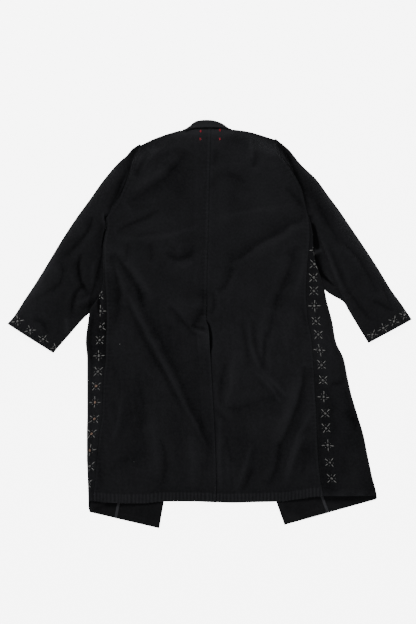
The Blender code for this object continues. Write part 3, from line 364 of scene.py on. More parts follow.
COLLAR_PLACES = listed(CollarPlace, [
    (-0.4, 49.74, 84, -90, 1.2, 3.2), (-2, 50.2, 72, -90, 1.2, 3.2), (-3.5, 50.8, 58, -90, 1.2, 3.2),
    (-5, 52.04, 42, -90, 1.2, 3), (-6.3, 53.4, 30, -90, 1, 2.6), (-6.9, 54.85, 26, -90, 0.8, 2),
    (-7.26, 55.82, 30, -90, 0.5, 1), (-7.43, 56.1, 52, -50, 0.3, 0.35), (-7.46, 56.15, 70, 0, 0.15, 0.15),
    (-7.2, 56.2, 80, 50, 0.15, 0.2), (-6.7, 56.35, 85, 90, 0.25, 0.45), (-5.8, 56.65, 88, 90, 0.55, 0.65),
    (-4.8, 56.85, 90, 90, 1.15, 1.25), (-3.6, 57.05, 90, 90, 1.6, 1.8), (-1.5, 57.2, 90, 90, 1.75, 2.05),
    (0.5, 57.25, 90, 90, 1.65, 1.98), (2.2, 57.2, 90, 90, 1.35, 1.62), (3.6, 57.1, 90, 90, 0.9, 1.08),
    (4.8, 56.8, 92, 90, 0.42, 0.48), (5.6, 56.45, 98, 50, 0.15, 0.15), (6.1, 56.2, 110, 0, 0.1, 0.1),
    (6.02, 56.2, 128, -50, 0.2, 0.3), (5.9, 55.98, 152, -90, 0.5, 1), (5.6, 54.78, 158, -90, 0.8, 2),
    (5.2, 53.4, 154, -90, 1, 2.6), (4.1, 51.75, 136, -90, 1.2, 3), (3, 51, 120, -90, 1.2, 3.2),
    (1.7, 50.22, 112, -90, 1.2, 3.2), (0.4, 49.74, 98, -90, 1.2, 3.2),
])

X, P = Cross.DIAGONAL, Cross.UPRIGHT
STARS = {
    Side.LEFT: listed(StarPlace, [
        (26, 2.1, P), (21.6, 2.1, X), (17.2, 2.1, X), (12.6, 2, P), (8.5, 1.9, X), (3.9, 1.75, P), (-0.6, 1.8, X),
        (-4.5, 1.8, X), (-9, 1.95, P), (-13.6, 1.75, X), (-17.8, 2, X), (-22.5, 2.2, P), (-27.3, 2.1, X),
        (-31.6, 2.2, X), (-36.4, 2.3, P), (-41, 1.9, X), (-46, 2.2, X),
    ]),
    Side.RIGHT: listed(StarPlace, [
        (26, 1.9, X), (21.6, 1.8, P), (17.5, 1.9, X), (13.6, 2, X), (9.7, 2.2, X), (5.4, 2.2, P), (1, 2.2, X),
        (-2.9, 2.1, X), (-7.4, 2, P), (-11.7, 2.2, X), (-16.1, 2.4, X), (-20.9, 2.4, P), (-25.7, 2.5, X),
        (-30, 2.6, X), (-34.9, 2.9, P), (-39.9, 3.2, X), (-44.5, 3.3, X),
    ]),
}


def smooth(keys: Array, values: Array, at: Array) -> Array:
    """Values between the keys on a curve that never overshoots them.

    Args:
        keys: Where the values are known, rising.
        values: The known values.
        at: Where they are wanted.

    Returns:
        The values there, held past both ends.
    """
    at = np.clip(at, keys[0], keys[-1])
    steps = np.diff(keys)
    slopes = np.diff(values) / steps
    tangents = np.zeros_like(values)
    tangents[0], tangents[-1] = slopes[0], slopes[-1]
    before, after = 2 * steps[1:] + steps[:-1], steps[1:] + 2 * steps[:-1]
    turning = slopes[:-1] * slopes[1:] > 0
    weights = before[turning] / slopes[:-1][turning] + after[turning] / slopes[1:][turning]
    tangents[1:-1][turning] = (before + after)[turning] / weights
    cell = np.clip(np.searchsorted(keys, at, side="right") - 1, 0, len(steps) - 1)
    share = (at - keys[cell]) / steps[cell]
    rise = share * share * (3 - 2 * share)
    start = share * (1 - share) ** 2 * tangents[cell] * steps[cell]
    end = share * share * (share - 1) * tangents[cell + 1] * steps[cell]
    return values[cell] + (values[cell + 1] - values[cell]) * rise + start + end


def read(table: list, key: str, name: str, at: Array) -> Array:
    """The values of one column where the key column is at the given places."""
    keys = column(table, key)
    order = np.argsort(keys, kind="stable")
    keys, values = keys[order], column(table, name)[order]
    kept = np.concatenate([[True], np.diff(keys) > 1e-6])
    return smooth(keys[kept], values[kept], np.asarray(at, float))


def ramp(value: Array, low: float, high: float) -> Array:
    """0 up to low, 1 from high on, and smooth between."""
    share = np.clip((value - low) / (high - low), 0.0, 1.0)
    return share * share * (3.0 - 2.0 * share)


def lerp(a: Array, b: Array, share: Array) -> Array:
    """From a to b by the share."""
    return a + (b - a) * share


def fade(value: Array, low: float, high: float) -> Array:
    """1 up to low, 0 from high on, and smooth between."""
    return 1 - ramp(value, low, high)


def bell(value: Array, centre: float, reach: float) -> Array:
    """1 at the centre, less and less to both sides."""
    return np.exp(-(((value - centre) / reach) ** 2))


def gaps(points: Array, axis: int = 0) -> Array:
    """The distances between neighbouring points along an axis of a grid of points."""
    return np.linalg.norm(np.diff(points, axis=axis), axis=-1)


def run_along(line: Array) -> Array:
    """How far each point of a line is along it."""
    return np.concatenate([[0.0], np.cumsum(gaps(line))])


def along(spots: list[Spot], fractions: Array) -> Array:
    """Points on the smooth line through the spots at the given fractions of its length."""
    points = np.array(spots, float)
    knots = run_along(points) / gaps(points).sum()
    return np.stack([smooth(knots, points[:, axis], fractions) for axis in (0, 1)], axis=-1)


def place(x: Array, y: Array, z: Array) -> Array:
    """Points in metres from a plan in centimetres and heights in metres."""
    return np.stack(np.broadcast_arrays(x * CM, y * CM, z), axis=-1)


def spaced(width: Array, near: Array, between: int) -> Array:
    """Distances across a panel: near both edges as given, and even between.

    Args:
        width: The panel's width at each row.
        near: Distances from an edge, rising from zero.
        between: How many columns lie between the two edge strips.

    Returns:
        One row of distances for each width.
    """
    width = np.asarray(width, float)[:, None]
    middle = np.linspace(0.0, 1.0, between + 2)[None, 1:-1]
    inner = near[-1] + (width - 2 * near[-1]) * middle
    first = np.broadcast_to(near, (len(width), len(near)))
    return np.concatenate([first, inner, width - near[::-1]], axis=1)


def blur(values: Array, reach: int) -> Array:
    """The values averaged over a square of neighbours, edges held."""
    for axis in (0, 1):
        ends = [(reach, reach) if axis == each else (0, 0) for each in range(values.ndim)]
        sums = np.cumsum(np.pad(values, ends, mode="edge"), axis=axis)
        sums = np.insert(sums, 0, 0.0, axis=axis)
        count = 2 * reach + 1
        values = (np.take(sums, range(count, sums.shape[axis]), axis=axis)
                  - np.take(sums, range(sums.shape[axis] - count), axis=axis)) / count
    return values


def line_distance(x: Array, y: Array, line: Array) -> tuple[Array, Array, Array]:
    """The distance of each place from a line.

    Args:
        x: Places in X.
        y: Places in Y.
        line: The line's points.

    Returns:
        The distance, the sign of the side that it is on and how far along the line it is, from 0 to 1.
    """
    nearest = np.full(x.shape, np.inf)
    side, share = np.zeros(x.shape), np.zeros(x.shape)
    count = len(line) - 1
    for number in range(count):
        (ax, ay), (bx, by) = line[number], line[number + 1]
        dx, dy = bx - ax, by - ay
        part = np.clip(((x - ax) * dx + (y - ay) * dy) / (dx * dx + dy * dy), 0.0, 1.0)
        away_x, away_y = x - ax - part * dx, y - ay - part * dy
        distance = np.hypot(away_x, away_y)
        closer = distance < nearest
        nearest = np.where(closer, distance, nearest)
        side = np.where(closer, np.sign(dx * away_y - dy * away_x), side)
        share = np.where(closer, (number + part) / count, share)
    return nearest, side, share


class Crumple:
    """Seeded soft noise over the plan."""

    CELLS = 64

    def __init__(self, seed: int, size: float, stretch: float = 1.0, turn_deg: float = 0.0) -> None:
        """A noise of the given size in centimetres, drawn out along one way."""
        self.table = np.random.default_rng(seed).uniform(-1.0, 1.0, (self.CELLS, self.CELLS))
        self.size, self.stretch, self.turn = size, stretch, math.radians(turn_deg)

    def at(self, x: Array, y: Array) -> Array:
        """The noise at the places, from -1 to 1."""
        total = np.zeros(np.broadcast(x, y).shape)
        for layer, share in ((0.0, 0.6), (1.1, 0.4)):
            turn = self.turn + layer * (self.stretch == 1.0)
            across = (x * math.cos(turn) + y * math.sin(turn)) / self.size + 17.3 * layer
            down = (y * math.cos(turn) - x * math.sin(turn)) / (self.size * self.stretch) + 9.1 * layer
            column_at, row_at = np.floor(across).astype(int), np.floor(down).astype(int)
            u, v = ramp(across - column_at, 0, 1), ramp(down - row_at, 0, 1)
            near, far = (
                lerp(*(self.table[(row_at + j) % self.CELLS, (column_at + i) % self.CELLS] for i in (0, 1)), u)
                for j in (0, 1)
            )
            total += share * lerp(near, far, v)
        return total


@dataclass
class Lay:
    """How the coat's layers lie on the floor and on each other."""

    wall: float = 1.5 * MM
    seam_gap: float = 0.3 * MM
    layer_gap: float = 0.3 * MM
    least_loft: float = 1.2 * MM
    top_loft: float = 0.6 * MM
    body_levels: tuple = (9.0 * MM, 10.8 * MM)
    level_heights: tuple = (5.0, 20.0)
    tuck_lift: float = 4.6 * MM
    placket_lift: float = 3.3 * MM
    collar_lift: float = 2.6 * MM
    collar_roll: float = 1.2 * MM
    vent_lift: float = 3.2 * MM
    underarm: float = 31.0
    centre_hem: float = -51.4
    centre_top: float = 57.2
    facing_width: float = 12.2
    binding_width: float = 0.8
    tuck_reach: tuple = (3.5, 8.0)
    tuck_head: tuple = (31.5, 37.0)
    tuck_foot: dict = field(default_factory=lambda: {Side.LEFT: (-2.0, 3.0), Side.RIGHT: (4.0, 9.0)})
    placket_reach: tuple = (3.0, 9.0)
    placket_foot: tuple = (8.0, 13.0)
    neck_depth: tuple = (4.0, 9.0)
    neck_width: tuple = (9.0, 14.0)
    lap_reach: tuple = (2.6, 9.0)
    beyond_edge: tuple = (1.5, 7.0)
    beyond_facing: tuple = (14.0, 18.0)
    hem_reach: tuple = (0.0, 10.0)
    top_reach: tuple = (0.0, 5.0)
    folds_off: float = 5.5
    curve_steps: int = 14
    crease_round: float = 0.14
    sharpness: float = 1.2
    swell: float = 0.16
    swell_at: float = 2.6
    uneven: float = 0.3
    # Painted shade and highlight along creases: darker for each millimetre of trough, paler for each millimetre of
    # ridge.
    painted_tone_per_mm: float = 0.045
    painted_tone_sharpness: float = 1.7
    wander: float = 0.28
    end_power: float = 0.6
    scarf: float = 1.0 * MM

    def __post_init__(self) -> None:
        """Set up the cloth's crumple, from broad to fine."""
        self.broad = Crumple(3, 7.5)
        self.drawn = Crumple(5, 3.2, 3.0, 24.0)
        self.fine = Crumple(8, 1.7)
        self.small = Crumple(11, 0.8)
        self.streaks = Crumple(14, 0.9, 7.0, 6.0)

    def folded(self, folds: list[Fold], x: Array, y: Array) -> tuple[Array, Array]:
        """The sum of all creases at each place: their heights in metres, and the painted shade and highlight that they
        put on the cloth.

        Each is sharp along its line, fades at its ends and to both sides, and lies between two low swells.
        """
        height, tone = np.zeros(x.shape), np.zeros(x.shape)
        for number, fold in enumerate(folds):
            first, passes, last = np.array(fold[:6], float).reshape(3, 2)
            middle = 2 * passes - (first + last) / 2
            steps = np.linspace(0.0, 1.0, self.curve_steps)[:, None]
            line = (1 - steps) ** 2 * first + 2 * steps * (1 - steps) * middle + steps**2 * last
            reach = self.folds_off * fold.width
            low, high = line.min(axis=0) - reach, line.max(axis=0) + reach
            near = (x > low[0]) & (x < high[0]) & (y > low[1]) & (y < high[1])
            if not near.any():
                continue
            distance, side, share = line_distance(x[near], y[near], line)
            run = np.hypot(*(line[-1] - line[0])) * share
            wander = self.fine.at(0.45 * run + 13.0 * number, 0.0 * run)
            away = distance * side + self.wander * fold.width * self.fine.at(0.6 * run, 7.0 * number + 0.0 * run)
            distance, side = np.abs(away), np.sign(away)
            uneven = 1.0 + self.uneven * wander
            reach = fold.width * uneven * (1.0 - fold.lean * side)
            across = (np.hypot(distance, self.crease_round) - self.crease_round) / reach
            crest = np.exp(-across**self.sharpness) - self.swell * bell(across, self.swell_at, 1.0)
            ends = np.clip(4.0 * share * (1.0 - share), 0.0, 1.0) ** self.end_power * uneven
            height[near] += fold.height_mm * MM * crest * ends
            # Painted light and shade: troughs darker and ridges paler by their height, plus each crease's own painted
            # tone.
            toned = fold.height_mm * self.painted_tone_per_mm + fold.tone
            tone[near] += toned * np.exp(-across**self.painted_tone_sharpness) * ends
        return height, tone

    def crumple(self, x: Array, y: Array) -> Array:
        """The cloth's small unevenness, in metres."""
        broad = 0.9 * self.broad.at(x, y) + 0.5 * self.drawn.at(x, y)
        streaks = 0.35 * self.streaks.at(x, y) * fade(y, 0.0, 12.0)
        return MM * (broad + streaks + 0.3 * self.fine.at(x, y) + 0.1 * self.small.at(x, y))

    def mounds(self, x: Array, y: Array) -> Array:
        """The soft swellings, in metres."""
        total = np.zeros(x.shape)
        for mound in MOUNDS:
            total += mound.height_mm * MM * np.exp(-((x - mound.x) ** 2 + (y - mound.y) ** 2) / mound.reach**2)
        return total

    def hem(self, x: Array) -> Array:
        """Where the top layer's hem lies."""
        return read(HEM, "x", "y", x)

    def seam_hem(self, side: Side) -> float:
        """The height of the hem at the side seam."""
        return float(self.hem(self.seam_line(side, self.centre_hem)))

    def fold_edge(self, side: Side, y: Array) -> Array:
        """Where the side folds."""
        return read(SECTIONS, "height", side.word + "_fold", y)

    def seam_line(self, side: Side, y: Array) -> Array:
        """Where the side seam lies."""
        return read(SECTIONS, "height", side.word + "_seam", y)

    def front_edge(self, side: Side, y: Array) -> Array:
        """Where the front edge lies, under the back."""
        return read(SECTIONS, "height", side.word + "_front", y)

    def back_edge(self, side: Side, y: Array) -> Array:
        """Where the half of the back ends, at the centre seam and the vent."""
        return read(CENTRES, "height", side.word + "_panel", y)

    def armhole(self, side: Side, face: str, y: Array) -> Array:
        """Where the armhole lies, on the back or on the front."""
        return read(ARMHOLES, "height", f"{side.word}_{face}", y)

    def placket_centre(self, y: Array) -> Array:
        """The middle between the two front edges."""
        return (self.front_edge(Side.LEFT, y) + self.front_edge(Side.RIGHT, y)) / 2

    def tuck(self, side: Side, x: Array, y: Array) -> Array:
        """The lift of the front over the sleeve's inner edge."""
        inward = fade(side.sign * (x - self.fold_edge(side, y)), *self.tuck_reach)
        return self.tuck_lift * inward * ramp(y, *self.tuck_foot[side]) * fade(y, *self.tuck_head)

    def neck(self, x: Array, y: Array) -> Array:
        """The lift of the fronts over the collar's fall."""
        top = np.where(x < 0, read(LEFT_FRONT_TOP, "x", "y", x), read(RIGHT_FRONT_TOP, "x", "y", x))
        return self.collar_lift * fade(top - y, *self.neck_depth) * fade(np.abs(x), *self.neck_width)

    def floor_level(self, side: Side, x: Array, y: Array) -> Array:
        """The underside of a front: the right one lies on the left one along the placket."""
        placket = fade(np.abs(x - self.placket_centre(y)), *self.placket_reach)
        placket = self.placket_lift * placket * ramp(y, *self.placket_foot)
        left = np.maximum(np.maximum(placket, self.tuck(Side.LEFT, x, y)), self.neck(x, y))
        if side is Side.LEFT:
            return left
        overlap = 2 * (self.wall + self.layer_gap) + self.layer_gap
        lapped = fade(x - self.front_edge(Side.LEFT, y), *self.lap_reach) * (left + overlap)
        return np.maximum(np.maximum(lapped, self.tuck(Side.RIGHT, x, y)), self.neck(x, y))

    def top_level(self, x: Array, y: Array) -> Array:
        """The inner side of the top layer: what it lies on, and how far it stands off it."""
        lies_on = []
        for side in Side:
            past = side.sign * (x - self.front_edge(side, y))
            stack = (self.wall + self.layer_gap) * (2 - ramp(-past, *self.beyond_facing))
            lies_on.append(fade(past, *self.beyond_edge) * (self.floor_level(side, x, y) + stack))
        lies = np.maximum(*lies_on)
        shape = self.folded(BODY_FOLDS, x, y)[0] + self.mounds(x, y) + self.crumple(x, y)
        free = lerp(*self.body_levels, ramp(y, *self.level_heights)) + shape - lies
        loft = self.least_loft + np.logaddexp(0.0, (free - self.least_loft) / MM) * MM
        above_hem = ramp(y - self.hem(x), *self.hem_reach)
        hem = read(HEM_LOFT, "x", "loft_mm", x) * MM + 0.35 * self.crumple(x, y)
        loft = lerp(hem, loft, above_hem)
        below_top = ramp(read(TOP_LINE, "x", "y", x) - y, *self.top_reach)
        return lies + lerp(self.top_loft, loft, below_top)


@dataclass
class Felling:
    """The relief of seams, hems and lapped edges: a thicker strip between its rows of stitches, and puckers."""

    lay: Lay
    width: float = 0.75
    rise: float = 0.7 * MM
    pucker: float = 0.42 * MM
    pucker_length: float = 1.15
    pucker_reach: float = 1.5
    hem_width: float = 2.65
    hem_rise: float = 0.5 * MM
    vent_width: float = 3.4
    vent_rise: float = 0.5 * MM
    side_seeds: tuple = (21, 22)

    def strip(self, away: Array, run: Array, seed: int) -> Array:
        """The relief beside a seam.

        Args:
            away: Distance from the seam, in centimetres, below zero on the thin side.
            run: Distance along the seam, in centimetres.
            seed: Which puckers the seam has.

        Returns:
            Heights in metres.
        """
        wander = Crumple(seed, 2.6)
        phase = 2 * math.pi * run / self.pucker_length + 2.2 * wander.at(run, 0 * run)
        strength = 0.6 + 0.6 * wander.at(run + 40.0, 0 * run)
        puckers = self.pucker * strength * np.sin(phase) * bell(away, self.width / 2, self.pucker_reach)
        raised = ramp(away, 0.0, 0.08) * fade(away, self.width - 0.1, self.width + 0.12)
        return self.rise * raised + puckers

    def body(self, x: Array, y: Array, side: Side) -> tuple[Array, Array]:
        """The relief of one half of the back and its wear with painted light and shade, from 0 to 1."""
        lay, sign = self.lay, side.sign
        below = fade(y, lay.underarm - 1.0, lay.underarm + 0.5)
        from_seam = sign * (x - lay.seam_line(side, y))
        relief = below * self.strip(from_seam, y, self.side_seeds[side is Side.RIGHT])
        wear = 0.04 * below * bell(from_seam, 0.4, 0.5)
        armhole = np.stack([column(ARMHOLES, side.word + "_back"), column(ARMHOLES, "height")], axis=1)
        distance, _, share = line_distance(x, y, armhole)
        relief += (1 - below) * self.strip(distance, share * 25.0, 23)
        from_hem = y - lay.hem(x)
        band = ramp(from_hem, -0.1, 0.2) * self.within(from_hem)
        wander = Crumple(29, 2.4)
        phase = 2 * math.pi * x / 1.05 + 2.6 * wander.at(x, from_hem * 0.3)
        uneven = 0.7 + 0.6 * wander.at(x + 30.0, 0 * x)
        ripple = self.pucker * 1.15 * np.sin(phase) * uneven * bell(from_hem, 1.4, 1.9)
        relief += self.hem_rise * band + ripple
        # The turned hem is paler with wear, and painted light and shade on its puckers follow the waves of their
        # relief.
        wear += band * (0.3 + 0.32 * np.sin(phase))
        from_edge = sign * (lay.back_edge(side, y) - x)
        sewn = ramp(y, 1.0, 3.0)
        if side is Side.LEFT:
            relief += sewn * self.strip(from_edge, y + 7.0, 24)
            lap = (1 - sewn) * fade(from_edge, self.vent_width - 0.15, self.vent_width + 0.2)
            relief += self.vent_rise * lap + (1 - sewn) * 0.5 * self.strip(from_edge, y, 25)
            wear += 0.15 * (1 - sewn) * bell(from_edge, 0.2, 0.3)
            wear += 0.26 * lap * ramp(y, -10.0, -5.0) * fade(y, -2.2, -1.7)
        else:
            # Painted shadow in the vent's slit on the right back, over a real hollow of up to 2 mm.
            shade = fade(x - read(VENT_SHADE, "y", "x", y), -0.3, 0.3)
            wear -= lerp(0.7, 1.7, ramp(y, -20.0, -6.0)) * shade * fade(y, -0.6, 1.6)
            relief -= 2.0 * MM * shade * ramp(y, -12.0, -7.0) * fade(y, -1.0, 2.0)
        wear += 0.14 * sewn * bell(from_edge, 0.45, 0.45)
        # Painted shadow: a dark band on the back just below the collar's free edge.
        below_collar = np.abs(y - (56.66 + 0.012 * x)) / 0.17
        wear -= 1.5 * np.exp(-(below_collar**4)) * ramp(x, -5.8, -4.6) * fade(x, 1.8, 3.4)
        return relief, wear

    def within(self, from_hem: Array) -> Array:
        """1 on the hem's turned strip, 0 above it."""
        return fade(from_hem, self.hem_width - 0.1, self.hem_width + 0.15)


class Value:
    """A shader socket that Python's operators work on."""

    def __init__(self, finish: "Nodes", socket: bpy.types.NodeSocket) -> None:
        """Keep the socket and the nodes that it belongs to."""
        self.finish, self.socket = finish, socket

    def _math(self, operation: str, first: "Value | float", second: "Value | float") -> "Value":
        """One Math node on two values."""
        return self.finish.node("ShaderNodeMath", {"operation": operation}, {0: first, 1: second})

    def __add__(self, other: "Value | float") -> "Value":
        """self + other."""
        return self._math("ADD", self, other)

    __radd__ = __add__

    def __sub__(self, other: "Value | float") -> "Value":
        """self - other."""
        return self._math("SUBTRACT", self, other)

    def __rsub__(self, other: "Value | float") -> "Value":
        """other - self."""
        return self._math("SUBTRACT", other, self)

    def __mul__(self, other: "Value | float") -> "Value":
        """self * other."""
        return self._math("MULTIPLY", self, other)

    __rmul__ = __mul__

    def clamped(self) -> "Value":
        """The value held between 0 and 1."""
        return self.finish.node("ShaderNodeClamp", {}, {"Value": self})


class Nodes:
    """The nodes of one material."""

    def __init__(self, name: str) -> None:
        """Make the material with its surface shader."""
        self.material = bpy.data.materials.new(name)
        self.material.use_nodes = True
        self.tree = self.material.node_tree
        self.surface = self.tree.nodes["Principled BSDF"]

    def node(self, kind: str, settings: dict, inputs: dict, output: str | int = 0) -> Value:
        """Make a node.

        Args:
            kind: The node's type.
            settings: Its own settings.
            inputs: Values or links of its sockets, by name or number.
            output: The socket that is wanted.

        Returns:
            That socket.
        """
        made = self.tree.nodes.new(kind)
        for name, value in settings.items():
            setattr(made, name, value)
        for name, value in inputs.items():
            self.feed(made.inputs[name], value)
        return Value(self, made.outputs[output])

    def where(self) -> Value:
        """The place on the object."""
        return self.node("ShaderNodeTexCoord", {}, {}, "Object")

    def feed(self, socket: bpy.types.NodeSocket, value: "Value | float | Colour") -> None:
        """Link a value to a socket, or set it there."""
        if isinstance(value, Value):
            self.tree.links.new(value.socket, socket)
        else:
            socket.default_value = value

    def mix(self, factor: Value, low: Colour, high: "Colour | Value") -> Value:
        """A colour between two."""
        return self.node("ShaderNodeMix", {"data_type": "RGBA"}, {0: factor, 6: low, 7: high}, 2)

    def noise(self, where: Value, scale: float, detail: float) -> Value:
        """Noise about zero, from -0.5 to 0.5."""
        return self.node("ShaderNodeTexNoise", {}, {"Vector": where, "Scale": scale, "Detail": detail}) - 0.5

    def set(self, **sockets: "Value | float | Colour") -> bpy.types.Material:
        """Feed the surface's sockets, named with underlines for spaces."""
        for name, value in sockets.items():
            self.feed(self.surface.inputs[name.replace("_", " ")], value)
        return self.material

    def bump(self, height: Value, strength: float, distance: float) -> Value:
        """A normal from a height."""
        return self.node("ShaderNodeBump", {}, {"Height": height, "Strength": strength, "Distance": distance})


@dataclass(frozen=True)
class Cotton:
    """A woven cotton, paler where it is worn, with painted shade that darkens its folds and painted highlight on lit
    edges.
    """

    name: str
    deep: Colour
    worn_and_lit: Colour
    roughness: float = 0.88
    specular: float = 0.04
    sheen: float = 0.02
    balance: float = 0.46
    wear_share: float = 0.5
    twill_scale: float = 190.0
    weave_depth: float = 0.25 * MM
    broad: tuple = (9.0, 4.0)
    slub: tuple = (160.0, 3.0)
    speck: tuple = (520.0, 2.0)

    def make(self) -> bpy.types.Material:
        """Build the material."""
        nodes = Nodes(self.name)
        cloth = nodes.node("ShaderNodeUVMap", {"uv_map": "cloth"}, {})
        where = nodes.where()
        wear = nodes.node("ShaderNodeAttribute", {"attribute_name": "wear"}, {}, "Fac")
        broad = nodes.noise(where, *self.broad)
        slub = nodes.noise(where, *self.slub)
        speck = nodes.noise(where, *self.speck)
        twill = nodes.node(
            "ShaderNodeTexWave", {"wave_type": "BANDS", "bands_direction": "DIAGONAL"},
            {"Vector": cloth, "Scale": self.twill_scale, "Distortion": 1.4, "Detail": 2.0, "Detail Scale": 2.0},
            "Fac",
        )
        # The wear attribute holds painted light and shade as well as wear, and moves the colour between the deep and
        # the pale end.
        amount = self.balance + wear * self.wear_share + broad * 0.4 + slub * 0.4 + speck * 0.5
        amount = (amount + (twill - 0.5) * 0.12).clamped()
        height = twill * 0.5 + speck * 0.7 + slub * 0.8
        return nodes.set(
            Specular_IOR_Level=self.specular,
            Sheen_Weight=self.sheen,
            Sheen_Roughness=0.55,
            Base_Color=nodes.mix(amount, self.deep, self.worn_and_lit),
            Roughness=self.roughness - wear * 0.04,
            Normal=nodes.bump(height, 0.55, self.weave_depth),
        )


@dataclass(frozen=True)
class Thread:
    """Sewing or embroidery thread, with its twist and a soft gloss."""

    name: str
    dark: Colour
    light: Colour
    roughness: float = 0.55
    sheen: float = 0.2
    hank: tuple = (60.0, 2.0)
    ply: tuple = (1400.0, 2.0)

    def make(self) -> bpy.types.Material:
        """Build the material."""
        nodes = Nodes(self.name)
        where = nodes.where()
        hank = nodes.noise(where, *self.hank)
        ply = nodes.noise(where, *self.ply)
        return nodes.set(
            Specular_IOR_Level=self.sheen,
            Sheen_Weight=self.sheen,
            Base_Color=nodes.mix((0.5 + hank * 1.2 + ply * 0.8).clamped(), self.dark, self.light),
            Roughness=self.roughness + ply * 0.2,
            Normal=nodes.bump(ply, 0.5, 0.15 * MM),
        )


@dataclass(frozen=True)
class Resin:
    """Dark cast resin, faintly swirled and lightly scratched."""

    name: str
    dark: Colour
    light: Colour

    def make(self) -> bpy.types.Material:
        """Build the material."""
        nodes = Nodes(self.name)
        where = nodes.where()
        marble = {"Vector": where, "Scale": 150.0, "Detail": 3.0, "Distortion": 2.5}
        swirl = nodes.node("ShaderNodeTexNoise", {}, marble)
        scratch = nodes.noise(where, 900.0, 3.0)
        return nodes.set(
            Coat_Roughness=0.15,
            Coat_Weight=0.3,
            Base_Color=nodes.mix(swirl, self.dark, self.light),
            Roughness=0.34 + scratch * 0.25,
            Normal=nodes.bump(scratch, 0.15, 0.05 * MM),
        )


@dataclass(frozen=True)
class Paper:
    """The pale studio floor, lit from below, with a very faint tone."""

    name: str
    colour: Colour
    shade: Colour
    glow: float = 7.0

    def make(self) -> bpy.types.Material:
        """Build the material."""
        nodes = Nodes(self.name)
        where = nodes.where()
        tone = (nodes.noise(where, 0.8, 2.0) + 0.5).clamped()
        return nodes.set(
            Specular_IOR_Level=0.2,
            Emission_Color=self.colour,
            Emission_Strength=self.glow,
            Base_Color=nodes.mix(tone, self.colour, self.shade),
            Roughness=0.9 + tone * 0.02,
        )


BLACK_COTTON = Cotton("black_cotton", (0.0010, 0.0010, 0.0012, 1.0), (0.0185, 0.0187, 0.0208, 1.0))
INSIDE_COTTON = Cotton("inside_cotton", (0.0020, 0.0020, 0.0023, 1.0), (0.0158, 0.0159, 0.0173, 1.0))
PALE_TAPE = Cotton(
    "pale_tape", (0.016, 0.016, 0.018, 1.0), (0.042, 0.042, 0.046, 1.0), balance=0.5, wear_share=0.2, twill_scale=260.0
)
BLACK_THREAD = Thread("black_thread", (0.004, 0.004, 0.0045, 1.0), (0.020, 0.020, 0.022, 1.0), 0.7, 0.03)
GREY_THREAD = Thread("grey_thread", (0.10, 0.10, 0.10, 1.0), (0.27, 0.265, 0.255, 1.0))
RUST_THREAD = Thread("rust_thread", (0.24, 0.14, 0.10, 1.0), (0.46, 0.31, 0.23, 1.0))
RED_THREAD = Thread("red_thread", (0.15, 0.001, 0.010, 1.0), (0.40, 0.003, 0.022, 1.0))
LINT = Thread("lint", (0.35, 0.35, 0.35, 1.0), (0.6, 0.6, 0.6, 1.0), 0.9)
DARK_RESIN = Resin("dark_resin", (0.006, 0.005, 0.005, 1.0), (0.035, 0.026, 0.02, 1.0))
OUTER_AND_INSIDE = (BLACK_COTTON, INSIDE_COTTON)
FLOOR_PAPER = Paper("floor_paper", (0.9, 0.9, 0.9, 1.0), (0.88, 0.88, 0.885, 1.0))


class Wardrobe:
    """Makes each finish once."""

    def __init__(self) -> None:
        """Start with none made."""
        self.made: dict[str, bpy.types.Material] = {}

    def get(self, finish: Cotton | Thread | Resin | Paper) -> bpy.types.Material:
        """The material of a finish."""
        if finish.name not in self.made:
            self.made[finish.name] = finish.make()
        return self.made[finish.name]


class Laid:
    """A finished piece that other things are sewn to."""

    def __init__(self, mesh: bpy.types.Mesh) -> None:
        """Keep the surface for finding places on it."""
        shape = bmesh.new()
        shape.from_mesh(mesh)
        self.tree = BVHTree.FromBMesh(shape)
        shape.free()

    def drop(self, x: float, y: float, from_above: bool = True) -> tuple[Vector, Vector] | None:
        """The place and the normal where a plumb line at x, y in centimetres meets the piece."""
        start = Vector((x * CM, y * CM, 0.2 if from_above else -0.2))
        way = Vector((0.0, 0.0, -1.0 if from_above else 1.0))
        place_at, normal, _, _ = self.tree.ray_cast(start, way)
        if place_at is None:
            return None
        return place_at, normal if normal.dot(way) < 0 else -normal

    def nearest(self, point: Vector) -> tuple[Vector, Vector]:
        """The place on the piece that is nearest to a point, and its normal."""
        place_at, normal, _, _ = self.tree.find_nearest(point)
        return place_at, normal


@dataclass
class Surface:
    """The outer points of a laid piece, for finding a place by its distances along the cloth."""

    points: Array
    heights: Array

    def girth(self, row: int) -> float:
        """The length of a row, in centimetres."""
        return float(gaps(self.points[row]).sum()) / CM

    def at(self, height: float, away: float) -> Vector:
        """The point at a height of the first column and a distance round from it, in centimetres."""
        row = float(np.interp(height, self.heights, np.arange(len(self.heights))))
        low = min(int(row), len(self.heights) - 2)
        found = []
        for each in (low, low + 1):
            line = self.points[each]
            found.append([np.interp(away * CM, run_along(line), line[:, axis]) for axis in range(3)])
        return Vector(lerp(np.array(found[0]), np.array(found[1]), row - low))


class Cut(NamedTuple):
    """What a piece of cloth was cut to, in metres, and its area where it isn't a rectangle."""

    width: float
    length: float
    area: float | None = None


